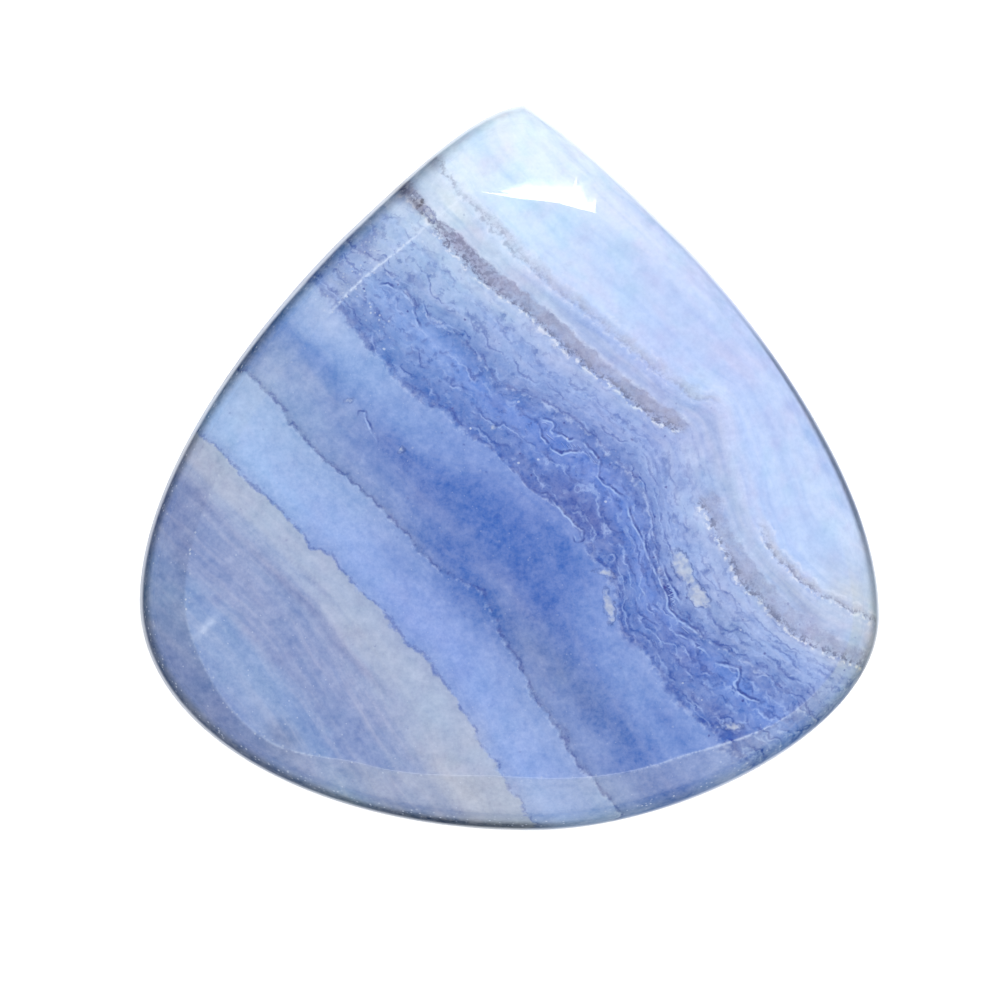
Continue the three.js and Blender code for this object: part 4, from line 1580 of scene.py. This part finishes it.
def softbox(name, azimuth, elevation, size, roll, power):
    """Hangs a rectangular light that faces the stone from a side and a height, rolled about its beam."""
    light = bpy.data.lights.new(name, "AREA")
    light.shape = "RECTANGLE"
    light.size, light.size_y = size
    light.energy = power
    lamp = bpy.data.objects.new(name, light)
    towards = pointing(azimuth, elevation)
    lamp.location = towards * SOFTBOX_DISTANCE
    turned = towards.to_track_quat("Z", "Y") @ Quaternion((0.0, 0.0, 1.0), math.radians(roll))
    lamp.rotation_euler = turned.to_euler()
    bpy.context.scene.collection.objects.link(lamp)


def room_light(stage):
    """The world: an even light from all round, and glows on it, each of which falls off with a power of
    half of one plus the cosine of the angle from its middle."""
    world = bpy.data.worlds.new("Soft room")
    world.use_nodes = True
    tree = world.node_tree
    towards = put(tree, "ShaderNodeTexCoord").outputs["Generated"]
    level = stage.even_light
    for azimuth, elevation, narrowness, share in ROOM_GLOWS:
        middle = tuple(pointing(azimuth, elevation))
        aligned = put(tree, "ShaderNodeVectorMath", {0: towards, 1: middle}, operation="DOT_PRODUCT")
        half = reckon(tree, "MULTIPLY_ADD", aligned.outputs["Value"], 0.5, 0.5)
        glow = reckon(tree, "POWER", half, narrowness)
        level = reckon(tree, "MULTIPLY_ADD", glow, stage.side_light * share, level)
    background = tree.nodes["Background"]
    background.inputs["Color"].default_value = (1.0, 1.0, 1.0, 1.0)
    tree.links.new(level, background.inputs["Strength"])
    return world


def lay_floor(stage):
    """Lays the plain floor under the stone: one square face about the origin."""
    half = stage.floor_size / 2
    corners = [(-half, -half, 0.0), (half, -half, 0.0), (half, half, 0.0), (-half, half, 0.0)]
    mesh = bpy.data.meshes.new("pale_floor")
    mesh.from_pydata(corners, [], [(0, 1, 2, 3)])
    material, _, shader = new_material("Pale floor")
    shader.inputs["Base Color"].default_value = (*stage.floor_colour, 1.0)
    shader.inputs["Roughness"].default_value = 0.9
    shader.inputs["Specular IOR Level"].default_value = 0.1
    mesh.materials.append(material)
    floor = bpy.data.objects.new("pale_floor", mesh)
    bpy.context.scene.collection.objects.link(floor)


def overhead_camera(stage):
    """The camera straight over the middle of the picture, with a lens that shows the view's width on the
    floor."""
    camera = bpy.data.cameras.new("camera")
    camera.sensor_width = SENSOR_WIDTH_MM
    camera.lens = SENSOR_WIDTH_MM * stage.view_height / stage.view_width
    camera.clip_start = stage.view_height / 100
    eye = bpy.data.objects.new("camera", camera)
    eye.location = (VIEW_CENTRE_MM[0] * MM, VIEW_CENTRE_MM[1] * MM, stage.view_height)
    bpy.context.scene.collection.objects.link(eye)
    return eye


class AGATE_OT_set_stage(bpy.types.Operator):
    """Lay the pale floor, hang the lights and place the camera"""

    bl_idname = "agate.set_stage"
    bl_label = "Set the stage"

    def execute(self, context):
        scene = context.scene
        stage = scene.agate_stage
        lay_floor(stage)
        scene.world = room_light(stage)
        scene.view_settings.view_transform = "Standard"
        for name, (*placing, power) in SOFTBOXES.items():
            softbox(name, *placing, power * stage.softbox_light)
        scene.camera = overhead_camera(stage)
        return {"FINISHED"}


class AGATE_PT_panel(bpy.types.Panel):
    """The stone's and the stage's settings, with a button for each"""

    bl_idname = "AGATE_PT_panel"
    bl_label = "Agate heart"
    bl_space_type = "VIEW_3D"
    bl_region_type = "UI"
    bl_category = "Agate"

    def draw(self, context):
        for settings, operator in (
            (context.scene.agate_stone, AGATE_OT_cut_stone.bl_idname),
            (context.scene.agate_stage, AGATE_OT_set_stage.bl_idname),
        ):
            box = self.layout.box()
            for name in settings.__annotations__:
                box.prop(settings, name)
            box.operator(operator)


CLASSES = (AgateStoneSettings, AgateStageSettings, AGATE_OT_cut_stone, AGATE_OT_set_stage, AGATE_PT_panel)


def register():
    for cls in CLASSES:
        bpy.utils.register_class(cls)
    bpy.types.Scene.agate_stone = PointerProperty(type=AgateStoneSettings)
    bpy.types.Scene.agate_stage = PointerProperty(type=AgateStageSettings)


def unregister():
    del bpy.types.Scene.agate_stage
    del bpy.types.Scene.agate_stone
    for cls in reversed(CLASSES):
        bpy.utils.unregister_class(cls)


def main():
    register()
    bpy.ops.agate.cut_stone()
    bpy.ops.agate.set_stage()


if __name__ == "__main__":
    main()
